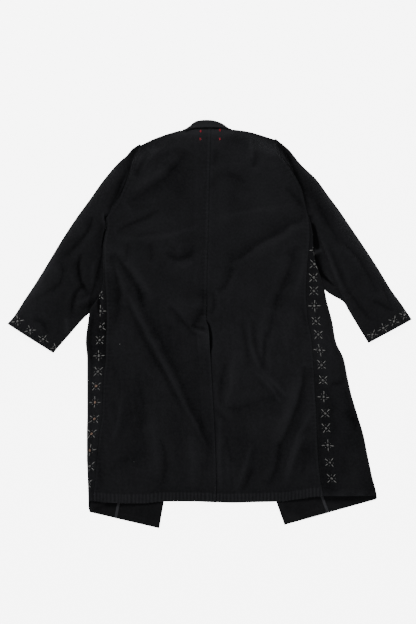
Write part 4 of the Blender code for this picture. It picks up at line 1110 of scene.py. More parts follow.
class Tailor:
    """Puts finished shapes in the scene."""

    def __init__(self, wardrobe: Wardrobe) -> None:
        """Keep the finishes."""
        self.wardrobe = wardrobe

    def place(self, name: str, shape: bmesh.types.BMesh, finishes: tuple, slot: str) -> bpy.types.Object:
        """Turn a shape into a piece that rides on the coat.

        Args:
            name: The piece's name.
            shape: Its mesh, in its place. It is freed.
            finishes: Its finishes, by material number.
            slot: The material slot that it stands for; not used.

        Returns:
            The piece.
        """
        mesh = bpy.data.meshes.new(name)
        shape.to_mesh(mesh)
        shape.free()
        mesh.polygons.foreach_set("use_smooth", [True] * len(mesh.polygons))
        for finish in finishes:
            mesh.materials.append(self.wardrobe.get(finish))
        piece = bpy.data.objects.new(name, mesh)
        bpy.context.scene.collection.objects.link(piece)
        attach(piece, BODY)
        log.info("%s: %d faces", name, len(mesh.polygons))
        return piece

    def cloth(
        self, node: str, inner: Array, outer: Array, wear: Array, rests_on: list[str], finishes: tuple,
        cut: Cut | None = None, absent: Array | None = None, closed: bool = False, stuff: str = "cloth",
    ) -> bpy.types.Object:
        """Build a thin cloth from its inner and outer points.

        Args:
            node: The CAD node that it stands for.
            inner: Rows and columns of points on the inner side.
            outer: The same on the outer side.
            wear: How worn the cloth is at each, with painted light and shade, from -1 to 1.
            rests_on: What it lies on; not used.
            finishes: The outer and the inner finish.
            cut: What it was cut to, where its outer side doesn't show that.
            absent: True for each missing cell.
            closed: Whether the last column is joined to the first.
            stuff: What it is, for its name.

        Returns:
            The piece.
        """
        if closed:
            inner, outer, wear = (np.concatenate([part, part[:, :1]], axis=1) for part in (inner, outer, wear))
        cut = cut or cut_for(outer)
        rows, columns = inner.shape[:2]
        shape = bmesh.new()
        bmesh.ops.create_grid(shape, x_segments=columns - 1, y_segments=rows - 1, size=1.0)
        mesh = bpy.data.meshes.new("draft")
        shape.to_mesh(mesh)
        shape.free()
        count = rows * columns
        mesh.vertices.foreach_set("co", inner.reshape(-1).astype(np.float32))
        mesh.attributes.new("place", "INT", "POINT").data.foreach_set("value", np.arange(count, dtype=np.int32))
        worn_and_lit = mesh.attributes.new("wear", "FLOAT", "POINT")
        worn_and_lit.data.foreach_set("value", wear.reshape(-1).astype(np.float32))
        across = np.pad(np.cumsum(gaps(outer, 1), axis=1), ((0, 0), (1, 0)))
        down = np.pad(np.cumsum(gaps(outer), axis=0), ((1, 0), (0, 0)))
        flat = np.stack([across, down], axis=-1).reshape(-1, 2)
        corners = np.empty(len(mesh.loops), np.int32)
        mesh.loops.foreach_get("vertex_index", corners)
        mesh.uv_layers.new(name="cloth").data.foreach_set("uv", flat[corners].reshape(-1).astype(np.float32))
        shape = bmesh.new()
        shape.from_mesh(mesh)
        bpy.data.meshes.remove(mesh)
        shape.faces.ensure_lookup_table()
        if absent is not None:
            missing = [shape.faces[cell] for cell in np.flatnonzero(absent.reshape(-1))]
            bmesh.ops.delete(shape, geom=missing, context="FACES")
        if closed:
            bmesh.ops.remove_doubles(shape, verts=shape.verts, dist=0.001 * MM)
        for face in shape.faces:
            face.material_index = len(finishes) - 1
        number = shape.verts.layers.int["place"]
        made = bmesh.ops.extrude_face_region(shape, geom=shape.faces[:], use_keep_orig=True)
        moved = outer.reshape(-1, 3)
        for part in made["geom"]:
            if isinstance(part, bmesh.types.BMVert):
                part.co = moved[part[number]]
                for face in part.link_faces:
                    face.material_index = 0
        shape.verts.layers.int.remove(number)
        bmesh.ops.recalc_face_normals(shape, faces=shape.faces)
        if shape.calc_volume(signed=True) < 0:
            bmesh.ops.reverse_faces(shape, faces=shape.faces)
        piece = self.place(f"{node}_{stuff}", shape, finishes, node)
        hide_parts(node)
        return piece


def cut_for(outer: Array) -> Cut:
    """The cut of a piece from its surface: its greatest width, its greatest length and its area."""
    width, length = float(gaps(outer, 1).sum(axis=1).max()), float(gaps(outer).sum(axis=0).max())
    crossed = np.cross(outer[1:, 1:] - outer[:-1, :-1], outer[1:, :-1] - outer[:-1, 1:])
    area = float(np.linalg.norm(crossed, axis=2).sum() / 2)
    return Cut(round(width, 3), round(length, 3), round(min(area, width * length), 4))


def wear_and_shade_of(z: Array, extra: Array) -> Array:
    """How worn the cloth is, with painted shade: paler on crests, darker in hollows as painted shade, and where extra
    says.
    """
    fine = (z - blur(z, 3)) / (0.4 * MM)
    broad = (z - blur(z, 12)) / (2.0 * MM)
    return np.clip(0.16 * np.tanh(fine) + 0.12 * np.tanh(broad) + extra, -1.8, 1.2)


@dataclass
class Body:
    """The backs, the fronts, the facings and their bindings."""

    lay: Lay
    tailor: Tailor
    near_edge: tuple = (0.0, 0.07, 0.16, 0.3, 0.5, 0.66, 0.8, 1.0, 1.3)
    near_hem: tuple = (0.0, 0.07, 0.16, 0.35, 0.65, 1.0, 1.35, 1.7, 2.05, 2.4, 2.6, 2.75, 3.0)
    skirt_rows: int = 250
    yoke_rows: int = 64
    back_between: int = 104
    top_rows: tuple = (0.72, 1.0)
    hem_rows: tuple = (0.0, 0.25)
    wrap_columns: int = 12
    turn_columns: int = 10
    floor_columns: int = 16
    facing_columns: int = 14
    turn_radii: tuple = (0.05, 0.5)
    seam_strip: float = 0.02
    gape: float = 4.5 * MM
    gape_at: float = -3.6
    gape_reach: tuple = (3.4, 1.6)
    vent_reach: tuple = (6.0, 12.0)
    vent_head: tuple = (5.0, 9.0)
    paler_x: tuple = (-3.0, 5.0)
    paler_y: tuple = (-34.0, -20.0)
    corner_fold: tuple = ((-35.2, -54.7), (-28.2, -52.1))
    corner_lift: float = 2.6 * MM
    corner_x: tuple = (-30.5, -26.5)
    corner_y: tuple = (-50.5, -49.0)
    flap_crease: tuple = ((20.3, -52.4), (22.4, -55.0), (25.2, -56.2))
    flap_lift: float = 0.8 * MM
    fine_waves: float = 0.22 * MM
    small_waves: float = 0.1 * MM
    waves_end: tuple = (-46.0, -40.0)
    strip_limits: tuple = (-0.2 * MM, 0.25 * MM)
    hem_turn: float = 0.12 * MM
    least_wall: float = 0.85
    side_tones: tuple = (((0.3, -0.35), (-16.0, -6.0)), ((-0.15, 0.2), (-20.0, -14.0)))
    inside_share: float = 0.4
    inside_darker: tuple = (0.22, 0.0)
    tape_bulge: float = 0.25 * MM
    rim_thinner: float = 0.5 * MM
    facing_thinner: float = 0.35 * MM
    tape_cut: float = 0.010

    def __post_init__(self) -> None:
        """Get ready the seams' relief, and keep what other things are sewn to."""
        self.felling = Felling(self.lay)
        self.surfaces: dict[Side, Surface] = {}

    def side_heights(self, side: Side, hem: float) -> Array:
        """The height of each row at the side: hem to underarm, then armhole to shoulder."""
        near = hem + np.array(self.near_hem)
        skirt = np.linspace(near[-1], self.lay.underarm, self.skirt_rows + 1)[1:]
        yoke = np.linspace(self.lay.underarm, ENDS[side].shoulder, self.yoke_rows + 1)[1:]
        return np.concatenate([near, skirt, yoke])

    def follow_top(self, x: Array, y: Array, spots: list[Spot], share: Array) -> Array:
        """Lift the upper rows so that the last row follows the given line."""
        return y + ramp(share, *self.top_rows)[:, None] * (read(spots, "x", "y", x) - y[-1])

    def back(self, side: Side) -> bpy.types.Object:
        """Half of the back, from side seam and armhole to the centre seam and vent."""
        lay, sign = self.lay, side.sign
        outer_y = self.side_heights(side, lay.seam_hem(side))
        outer_x = np.where(outer_y <= lay.underarm, lay.seam_line(side, outer_y), lay.armhole(side, "back", outer_y))
        share = (outer_y - outer_y[0]) / (outer_y[-1] - outer_y[0])
        inner_y = lerp(lay.centre_hem, lay.centre_top, share)
        inner_x = lay.back_edge(side, inner_y) - sign * lay.seam_gap / 2 / CM
        width = np.abs(inner_x - outer_x)
        distance = spaced(width, np.array(self.near_edge), self.back_between)
        part = distance / width[:, None]
        x = lerp(outer_x[:, None], inner_x[:, None], part)
        y = lerp(outer_y[:, None], inner_y[:, None], part)
        y = self.follow_top(x, y, BACK_TOP, share)
        y = y + fade(share, *self.hem_rows)[:, None] * (lay.hem(x) - y[0])
        z = lay.top_level(x, y)
        if side is Side.LEFT:
            from_edge = inner_x[:, None] - x
            z = z + lay.vent_lift * fade(from_edge, *self.vent_reach) * fade(y, *self.vent_head)
            along, across = self.gape_reach
            z = z + self.gape * (bell(y, self.gape_at, along) * bell(from_edge, 0.0, across))
        relief, extra = self.felling.body(x, y, side)
        # Painted shade and highlight along the creases.
        extra += lay.folded(BODY_FOLDS, x, y)[1]
        extra += 0.04 + 0.1 * ramp(x, *self.paler_x) * ramp(y, *self.paler_y)
        from_centre = width[:, None] - distance
        rim = np.minimum(np.minimum(distance, from_centre), y - y[0])
        thick = lay.wall + relief - self.rim_thinner * fade(rim, 0.0, 0.16)
        outer = place(x + lay.scarf / CM * fade(from_centre, 0.0, 0.35), y, z + thick)
        rests = ["front_" + side.word, "facing_" + side.word]
        return self.tailor.cloth(
            "back_" + side.word, place(x, y, z), outer, wear_and_shade_of(z + relief, extra), rests, OUTER_AND_INSIDE
        )

    def wrap(self, side: Side, y_seam: Array, y_fold: Array) -> tuple[Array, Array]:
        """The front's top strip and the turn at its side: inner and outer points, seam first."""
        lay, sign = self.lay, side.sign
        seam = lay.seam_line(side, y_seam) - sign * lay.seam_gap / CM
        inner, outer = [], []
        wall = lay.wall / CM
        for step in range(self.wrap_columns + self.turn_columns + 1):
            turned = max(step - self.wrap_columns, 0) / self.turn_columns
            angle = math.pi / 2 - math.pi * turned
            y = lerp(y_seam, y_fold, turned)
            edge = lay.fold_edge(side, y)
            upper = lay.top_level(edge + sign * wall, y)
            lower = lay.floor_level(side, edge + sign * wall, y) + lay.wall
            room = np.maximum(sign * (seam - edge) - wall - self.seam_strip, self.turn_radii[0])
            radius = np.minimum(np.clip((upper - lower) / 2 / CM, *self.turn_radii), room)
            end = sign * np.minimum(sign * edge + wall + radius, sign * seam - self.seam_strip)
            x = end - sign * radius * math.cos(angle)
            height = (upper + lower) / 2 + (upper - lower) / 2 * math.sin(angle)
            thick = lay.wall
            if step < self.wrap_columns:
                x = lerp(seam, end, (step / self.wrap_columns) ** 1.2)
                height = lay.top_level(x, y)
                ripple = self.felling.strip(-sign * (x - seam) - 2.0, y, self.felling.side_seeds[side is Side.RIGHT])
                thick = lay.wall + 0.6 * ripple * fade(np.abs(x - seam), 0.4, 2.0)
            inner.append(place(x, y, height))
            away_x = -sign * math.cos(angle) * wall
            outer.append(place(x + away_x, y, height + thick * math.sin(angle)))
        return np.stack(inner, axis=1), np.stack(outer, axis=1)

    def floor_distances(self, width: Array) -> tuple[Array, int, int]:
        """The distance of each floor column from the turn, and how many columns facing and binding take."""
        facing = spaced(np.array([self.lay.facing_width]), np.array([0.0, 0.1, 0.3, 0.6]), self.facing_columns)[0]
        tape = self.lay.facing_width + self.lay.binding_width * np.linspace(0.0, 1.0, 5)[1:]
        inward = np.concatenate([facing, tape])
        plain = (width - inward[-1])[:, None] * np.linspace(0.0, 1.0, self.floor_columns + 1)[None, :-1]
        rest = width[:, None] - inward[None, ::-1]
        return np.concatenate([plain, rest], axis=1), len(facing), len(tape)

    def flap_shape(self, side: Side, x: Array, y: Array) -> Array:
        """The lift of the fronts' lower corners where they show below the back."""
        if side is Side.LEFT:
            distance, above, _ = line_distance(x, y, np.array(self.corner_fold))
            corner = self.corner_lift * ramp(distance * (above > 0), 0.0, 1.5) * fade(x, *self.corner_x)
            return corner * fade(y, *self.corner_y)
        distance, _, _ = line_distance(x, y, np.array(self.flap_crease))
        return self.flap_lift * bell(distance, 0.0, 0.9)

    def front(self, side: Side) -> None:
        """A front: over the side from its seam, then along the floor to its front edge, with its facing."""
        lay, ends = self.lay, ENDS[side]
        y_seam, y_fold = self.side_heights(side, lay.seam_hem(side)), self.side_heights(side, ends.fold_hem)
        skirt_count = len(self.near_hem) + self.skirt_rows
        skirt = slice(0, skirt_count)
        wrap_in, wrap_out = self.wrap(side, y_seam[skirt], y_fold[skirt])
        start_x = np.concatenate([wrap_in[:, -1, 0] / CM, lay.armhole(side, "front", y_fold[skirt_count:])])
        share = (y_seam - y_seam[0]) / (y_seam[-1] - y_seam[0])
        edge_y = lerp(ends.edge_hem, ends.edge_neck, share)
        edge_x = lay.front_edge(side, edge_y)
        width = np.abs(edge_x - start_x)
        distance, facing_count, tape_count = self.floor_distances(width)
        part = distance / width[:, None]
        x = lerp(start_x[:, None], edge_x[:, None], part)
        y = self.follow_top(x, lerp(y_fold[:, None], edge_y[:, None], part), FRONT_TOPS[side], share)
        small = self.fine_waves * (1 + lay.fine.at(x, y)) + self.small_waves * (1 + lay.small.at(x, y))
        low = lay.floor_level(side, x, y) + self.flap_shape(side, x, y) + small * fade(y, *self.waves_end)
        from_hem = y - y[0]
        ripple = np.clip(self.felling.strip(from_hem - 1.2, x, 31), *self.strip_limits) * fade(from_hem, 2.0, 4.0)
        inside = lay.wall + self.hem_turn * self.felling.within(from_hem) + ripple
        floor_in, floor_out = place(x, y, low + np.maximum(inside, lay.wall * self.least_wall)), place(x, y, low)
        floor_in[skirt, 0], floor_out[skirt, 0] = wrap_in[:, -1], wrap_out[:, -1]
        turned = wrap_in.shape[1] - 1
        inner, outer = (
            np.concatenate([floor[:, :1].repeat(turned, axis=1), floor], axis=1) for floor in (floor_in, floor_out)
        )
        inner[skirt, :turned], outer[skirt, :turned] = wrap_in[:, :-1], wrap_out[:, :-1]
        absent = np.zeros((len(share) - 1, inner.shape[1] - 1), bool)
        absent[skirt_count - 1 :, :turned] = True
        wear = wear_and_shade_of(inner[..., 2], self.front_tone(side, outer, y_seam, turned))
        self.surfaces[side] = Surface(outer, y_seam)
        node = "front_" + side.word
        self.tailor.cloth(node, inner, outer, wear, ["floor"], OUTER_AND_INSIDE, absent=absent)
        lining = floor_in[:, -(facing_count + tape_count) :] + [0, 0, lay.layer_gap]
        calm = wear[:, -facing_count:]
        self.facing(side, lining[:, tape_count:], calm)
        self.binding(side, lining[:, : tape_count + 1].copy())

    def front_tone(self, side: Side, outer: Array, y_seam: Array, turned: int) -> Array:
        """How a front is toned apart from its relief: its wear, with painted light and shade.

        Args:
            side: Which front.
            outer: Its outer points.
            y_seam: The height of each row at the side seam.
            turned: How many columns lie on top and round the side.

        Returns:
            What is added to the wear and painted shade at each point.
        """
        lay = self.lay
        extra = np.zeros(outer.shape[:2])
        # Painted shadow beside the side seam, where the back's edge stands above the front.
        extra[:, 1:] -= 0.12 * bell(gaps(outer, 1).cumsum(axis=1) / CM, 0.25, 0.45)
        x, y = outer[:, :turned, 0] / CM, outer[:, :turned, 1] / CM
        on_top = extra[:, :turned]
        # Painted shade and highlight along the creases, a little darker overall.
        on_top += lay.folded(BODY_FOLDS, x, y)[1] - 0.12
        from_edge = side.sign * (x - lay.fold_edge(side, y))
        low_down = fade(y, 0.0, 8.0)
        # Painted highlight along the turned side edge.
        on_top += 0.35 * low_down * bell(from_edge, 0.0, 0.5)
        tones, heights = self.side_tones[side is Side.RIGHT]
        on_top += lerp(*tones, ramp(y, *heights)) * low_down
        # Painted shade in a line just inside that edge.
        on_top -= 0.3 * low_down * bell(from_edge, 1.2, 0.4)
        hem = fade((y_seam - y_seam[0])[:, None], 0.2, 2.6)
        extra += hem * (0.3 + 0.2 * np.sin(6.0 * y_seam[0] + 5.7 * outer[..., 0] / CM))
        extra[:, turned + 2 :] *= self.inside_share
        extra[:, turned + 2 :] -= self.inside_darker[side is Side.RIGHT]
        return extra

    def facing(self, side: Side, points: Array, wear: Array) -> None:
        """The facing on the inside of a front."""
        over = points + [0, 0, self.lay.wall - self.facing_thinner]
        self.tailor.cloth(
            "facing_" + side.word, points, over, wear, ["front_" + side.word], (INSIDE_COTTON, INSIDE_COTTON),
            cut_for(points),
        )

    def binding(self, side: Side, points: Array) -> None:
        """The tape that binds the facing's inner edge."""
        points[:, -1] = lerp(points[:, -1], points[:, -2], self.lay.seam_gap / CM / 0.2)
        bulge = self.lay.wall + self.tape_bulge * np.sin(np.pi * np.linspace(0.0, 1.0, points.shape[1]))
        frayed = self.lay.small.at(points[..., 0] / CM * 2, points[..., 1] / CM)
        self.tailor.cloth(
            "binding_" + side.word, points, points + [0, 0, 1.0] * bulge[:, None], frayed, ["front_" + side.word],
            (PALE_TAPE,), Cut(self.tape_cut, round(float(gaps(points[:, 0]).sum()), 3)), stuff="tape",
        )


@dataclass
class Sleeves:
    """The two sleeves: flattened tubes from the armholes to the cuffs."""

    lay: Lay
    tailor: Tailor
    stations: int = 190
    across: int = 60
    turn: int = 6
    outer_turn: float = 0.2
    inner_turn: float = 0.06
    edge_loft: float = 3.0 * MM
    flat_loft: float = 0.5 * MM
    least_crown: float = 2.0 * MM
    pressed: tuple = (0.4, 0.75)
    dome_power: float = 0.6
    armhole_fade: tuple = (0.25, 0.024)
    fade_share: tuple = (0.3, 0.8)
    own_by: tuple = (0.22, 0.02)
    off_armhole: tuple = (0.0, 0.05)
    beside_body: float = 0.3
    beside_slope: float = 0.8
    beside_head: tuple = (30.2, 32.2)
    hem_width: float = 1.5
    trough: float = 2.2 * MM
    upper_width: float = 17.0

    def __post_init__(self) -> None:
        """Keep the rings that the cuffs' stars are sewn to."""
        self.surfaces: dict[Side, Surface] = {}

    def station_list(self) -> Array:
        """Shares of the sleeve's length, close together at the armhole and at the cuff."""
        near = np.array([0.0, 0.002, 0.005, 0.008])
        last = 1.0 - np.array([0.012, 0.009, 0.006, 0.003, 0.0012, 0.0])
        return np.concatenate([near, np.linspace(0.012, 0.985, self.stations), last])

    def outward(self, points: Array, sign: float) -> Array:
        """Unit normals in plan of a line of points."""
        run = np.gradient(points, axis=0)
        run /= np.linalg.norm(run, axis=1)[:, None]
        return sign * np.stack([-run[:, 1], run[:, 0]], axis=1)

    def plans(self, side: Side, stations: Array, share: Array, from_outer: Array, from_inner: Array) -> list[Array]:
        """The plan of the sleeve's upper and lower sides: straight across, but sewn to the armhole."""
        heights = np.linspace(ENDS[side].shoulder, self.lay.underarm, len(share))
        away = np.array([-side.sign, 1.0]) * self.lay.seam_gap / CM
        fade_by = lerp(self.armhole_fade[0], self.armhole_fade[1], ramp(share, *self.fade_share))
        fade_by[-1] = 0.012
        near_armhole = fade(stations[:, None], 0.0, fade_by)[..., None]
        chord = lerp(from_outer[:, None], from_inner[:, None], share[None, :, None])
        found = []
        for face in ("back", "front"):
            seam = np.stack([self.lay.armhole(side, face, heights), heights], axis=1) + away
            found.append(chord + near_armhole * (seam - chord[0])[None])
        return found

    def top(self, side: Side, stations: Array, share: Array, x: Array, y: Array, low: Array) -> Array:
        """The inner side of the sleeve's upper cloth: sewn to the back, domed, and low beside the body."""
        lay = self.lay
        flat = read(SLEEVE_SHAPES, "along", side.word + "_flat", stations)[:, None]
        crown = read(SLEEVE_SHAPES, "along", "crown_mm", stations)[:, None] * MM
        shape = lay.folded(SLEEVE_FOLDS, x, y)[0] + 0.8 * lay.crumple(x, y)
        crown = np.maximum(crown + shape, self.least_crown)
        dome = np.sin(np.pi * np.clip(share[None] / (1 - flat), 0.0, 1.0)) ** self.dome_power
        edge_loft = lerp(self.edge_loft, self.flat_loft, ramp(share[None], *self.pressed))
        own = ramp(stations[:, None], 0.0, lerp(self.own_by[0], self.own_by[1], share[None]))
        top = lerp(lay.top_level(x, y), lay.wall + edge_loft + dome * crown, own)
        trough = bell(stations[:, None], 0.018, 0.012) * np.sin(np.pi * np.clip(share[None] * 1.1, 0, 1))
        top = top - self.trough * trough
        beyond = np.maximum(side.sign * (lay.fold_edge(side, y) - x) - self.beside_body, 0.0) * CM
        beside = fade(y, *self.beside_head) * ramp(stations[:, None], 0.0, 0.02)
        slope = self.beside_slope + (4.0 * ramp(y, 16.0, 24.0) if side is Side.LEFT else 0.0)
        top = lerp(top, np.minimum(top, lay.wall + self.flat_loft + beyond * slope), beside)
        return np.maximum(top, low + self.flat_loft)

    def turned(self, edges: tuple, heights: tuple, out: Array, radius: float) -> tuple[Array, Array]:
        """The turn at one edge of the sleeve, from its upper cloth to its lower: inner and outer points."""
        inner, outer = [], []
        for step in range(1, self.turn + 1):
            turned = step / (self.turn + 1)
            angle = math.pi / 2 - math.pi * turned
            plan = lerp(*edges, turned) + out * radius * math.cos(angle)
            shell = plan + out * self.lay.wall / CM * math.cos(angle)
            height = (heights[0] + heights[1]) / 2 + (heights[0] - heights[1]) / 2 * math.sin(angle)
            inner.append(place(plan[:, 0], plan[:, 1], height))
            outer.append(place(shell[:, 0], shell[:, 1], height + self.lay.wall * math.sin(angle)))
        return np.stack(inner, axis=1), np.stack(outer, axis=1)

    def build(self, side: Side) -> None:
        """One sleeve, partly under the body."""
        lay = self.lay
        stations = self.station_list()
        share = np.linspace(0.0, 1.0, self.across + 1)
        edge_outer, edge_inner = (along(edge, stations) for edge in SLEEVE_EDGES[side])
        out_outer, out_inner = self.outward(edge_outer, -side.sign), self.outward(edge_inner, side.sign)
        from_outer = edge_outer - out_outer * (lay.wall / CM + self.outer_turn)
        from_inner = edge_inner - out_inner * (lay.wall / CM + self.inner_turn)
        upper, lower = self.plans(side, stations, share, from_outer, from_inner)
        low = lay.floor_level(side, lower[..., 0], lower[..., 1])
        low = low * fade(stations[:, None], *self.off_armhole) + lay.wall
        top = self.top(side, stations, share, upper[..., 0], upper[..., 1], low)
        upper_in = place(upper[..., 0], upper[..., 1], top)
        lower_in = place(lower[..., 0], lower[..., 1], low)[:, ::-1]
        (inner_turn, inner_shell), (outer_turn, outer_shell) = (
            self.turned((upper[:, end], lower[:, end]), (top[:, end], low[:, end]), out, radius)
            for end, out, radius in ((-1, out_inner, self.inner_turn), (0, out_outer, self.outer_turn))
        )
        inner = np.concatenate([upper_in, inner_turn, lower_in, outer_turn[:, ::-1]], axis=1)
        from_cuff = (1 - stations)[:, None] * gaps(edge_outer).sum()
        band = fade(from_cuff, self.hem_width - 0.1, self.hem_width + 0.15)
        run = share[None, :] * self.upper_width + 0 * from_cuff
        phase = 2 * math.pi * run / 1.1 + 2.4 * Crumple(41, 2.2).at(run, 0.3 * from_cuff + 0 * run)
        ripple = 0.4 * MM * np.sin(phase) * bell(from_cuff, 0.8, 1.1)
        thick = lay.wall + 0.4 * MM * band + ripple
        above, below = upper_in + [0, 0, 1.0] * thick[..., None], lower_in - [0, 0, lay.wall]
        outer = np.concatenate([above, inner_shell, below, outer_shell[:, ::-1]], axis=1)
        extra = np.zeros(inner.shape[:2]) + 0.15 * fade(from_cuff, 0.1, 1.7)
        on_top = extra[:, : self.across + 1]
        # Painted light and shade on the cuff's puckers, in step with their relief.
        on_top += 0.16 * band * np.sin(phase)
        # Painted highlight along the sleeve's outer edge.
        on_top += 0.3 * bell(share[None] * self.upper_width, 0.0, 0.9) * ramp(stations[:, None], 0.02, 0.1)
        # Painted shade and highlight along the creases.
        on_top += lay.folded(SLEEVE_FOLDS, upper[..., 0], upper[..., 1])[1]
        extra -= 0.14 * (side is Side.LEFT) * fade(stations[:, None], 0.65, 0.85)
        height = inner[..., 2].copy()
        height[:, : self.across + 1] += ripple
        self.surfaces[side] = Surface(np.concatenate([outer, outer[:, :1]], axis=1)[::-1], from_cuff[::-1, 0])
        self.tailor.cloth(
            "sleeve_" + side.word, inner, outer, wear_and_shade_of(height, extra), ["floor", "front_" + side.word],
            OUTER_AND_INSIDE, closed=True,
        )


@dataclass
class Collar:
    """The turned-down collar, from one front round the neck to the other."""

    lay: Lay
    tailor: Tailor
    between: int = 6
    turn: int = 8
    rows: int = 8
    lap: float = 3.0 * MM

    def build(self) -> bpy.types.Object:
        """Out from the neckline, over its roll and back, above the back and under the fronts."""
        knots = np.arange(len(COLLAR_PLACES), dtype=float)
        fine = np.linspace(0, len(knots) - 1, (len(knots) - 1) * self.between + 1)
        values = np.array([tuple(each) for each in COLLAR_PLACES], float)
        columns = [smooth(knots, values[:, number], fine) for number in range(values.shape[1])]
        spine, away = (np.array(part) for part in zip(*(self.rib(CollarPlace(*row)) for row in zip(*columns))))
        inner, outer = (spine + way * away * self.lay.wall / 2 for way in (-1, 1))
        extra = np.zeros(inner.shape[:2])
        # Painted highlight: the collar is painted paler all over, more so at the start of its roll and along its free
        # edge.
        extra[:, -4:] = 0.5
        extra[:, self.rows : self.rows + 3] = 0.4
        wear = np.clip(0.75 + 0.5 * extra + 0.15 * self.lay.fine.at(outer[..., 0] / CM, outer[..., 1] / CM), -1, 1)
        rests = ["back_left", "back_right", "front_left", "front_right"]
        return self.tailor.cloth("collar", inner, outer, wear, rests, (BLACK_COTTON, BLACK_COTTON))

    def rib(self, each: CollarPlace) -> tuple[Array, Array]:
        """One cross-section: its middle points and the ways that they face."""
        lay = self.lay
        facing, tilt = math.radians(each.facing_deg), math.radians(each.tilt_deg)
        side = Side.LEFT if each.x < 0 else Side.RIGHT
        up = np.array([math.cos(facing), math.sin(facing), 0.0])
        over = np.array([-side.sign * up[1], side.sign * up[0], 0.0]) * math.cos(tilt) + [0, 0, math.sin(tilt)]
        x, y = np.array(each.x), np.array(each.y)
        front_z = lay.floor_level(side, x, y) + lay.wall / 2
        share = (math.sin(tilt) + 1) / 2
        lap = ramp(np.array(each.tilt_deg), 45.0, 90.0)
        back_z = lay.top_level(x, y) + lay.wall / 2 + lap * (lay.wall + lay.seam_gap)
        foot = place(x, y, lerp(front_z, back_z, share)) + up * (lay.seam_gap - lap * self.lap)
        radius = lerp((front_z - lay.wall / 2) / 2, lay.collar_roll, share)
        stand_end = foot + up * (each.stand * CM + lap * self.lap)
        angles = [math.pi * step / self.turn for step in range(self.turn + 1)]
        bends = [up * math.sin(angle) - over * math.cos(angle) for angle in angles]
        spine = [lerp(foot, stand_end, step / self.rows) for step in range(self.rows)]
        spine += [stand_end + over * radius + bend * radius for bend in bends]
        last = spine[-1]
        spine += [last - up * each.fall * CM * step / self.rows for step in range(1, self.rows + 1)]
        return np.array(spine), np.array([-over] * self.rows + bends + [over] * self.rows)


@dataclass
class Stitching:
    """Rows of stitches, each thread a small bead of its own."""

    tailor: Tailor
    pitch: float = 0.33
    length: float = 2.5 * MM
    breadth: float = 0.62 * MM
    depth: float = 0.5 * MM
    sink: float = 0.05 * MM
    sink_below: float = 0.35 * MM

    def bead(
        self, shape: bmesh.types.BMesh, start: Vector, end: Vector, normal: Vector, breadth: float, depth: float
    ) -> None:
        """One thread between two points."""
        run = end - start
        if run.length < 0.1 * MM:
            return
        forward = run.normalized()
        sideways = normal.cross(forward).normalized()
        upward = forward.cross(sideways)
        size = Matrix.Diagonal((run.length * 0.56, breadth / 2, depth / 2, 1.0))
        turn = Matrix((forward, sideways, upward)).transposed().to_4x4()
        where = Matrix.Translation((start + end) / 2) @ turn @ size
        bmesh.ops.create_icosphere(shape, subdivisions=1, radius=1.0, matrix=where)

    def resample(self, line: Array, pitch: float) -> Array:
        """Points at an even pitch along a line."""
        steps = run_along(line)
        at = np.arange(pitch / 2, steps[-1], pitch)
        return np.stack([np.interp(at, steps, line[:, axis]) for axis in range(line.shape[1])], axis=1)

    def sew(self, shape: bmesh.types.BMesh, laid: Laid, line: Array, from_above: bool = True) -> None:
        """One row of stitches along a line in plan, dropped on a piece."""
        points = self.resample(np.array(line, float), self.pitch)
        ways = np.gradient(points, axis=0) if len(points) > 1 else points * 0
        for (x, y), (dx, dy) in zip(points, ways):
            found = laid.drop(x, y, from_above)
            if found is None:
                continue
            spot, normal = found
            forward = Vector((dx, dy, 0.0))
            forward = (forward - normal * forward.dot(normal)).normalized() * self.length / 2
            centre = spot + normal * (self.depth / 2 - (self.sink if from_above else self.sink_below))
            self.bead(shape, centre - forward, centre + forward, normal, self.breadth, self.depth)

    def thread(
        self, shape: bmesh.types.BMesh, laid: Laid, ends: list, size: tuple, lift: float = 0.0, from_above: bool = True
    ) -> None:
        """One thread between two places in plan, dropped on a piece."""
        found = [laid.drop(x, y, from_above) for x, y in ends]
        if None not in found:
            (start, normal), (end, _) = found
            self.bead(shape, start + normal * lift, end + normal * lift, normal, *size)


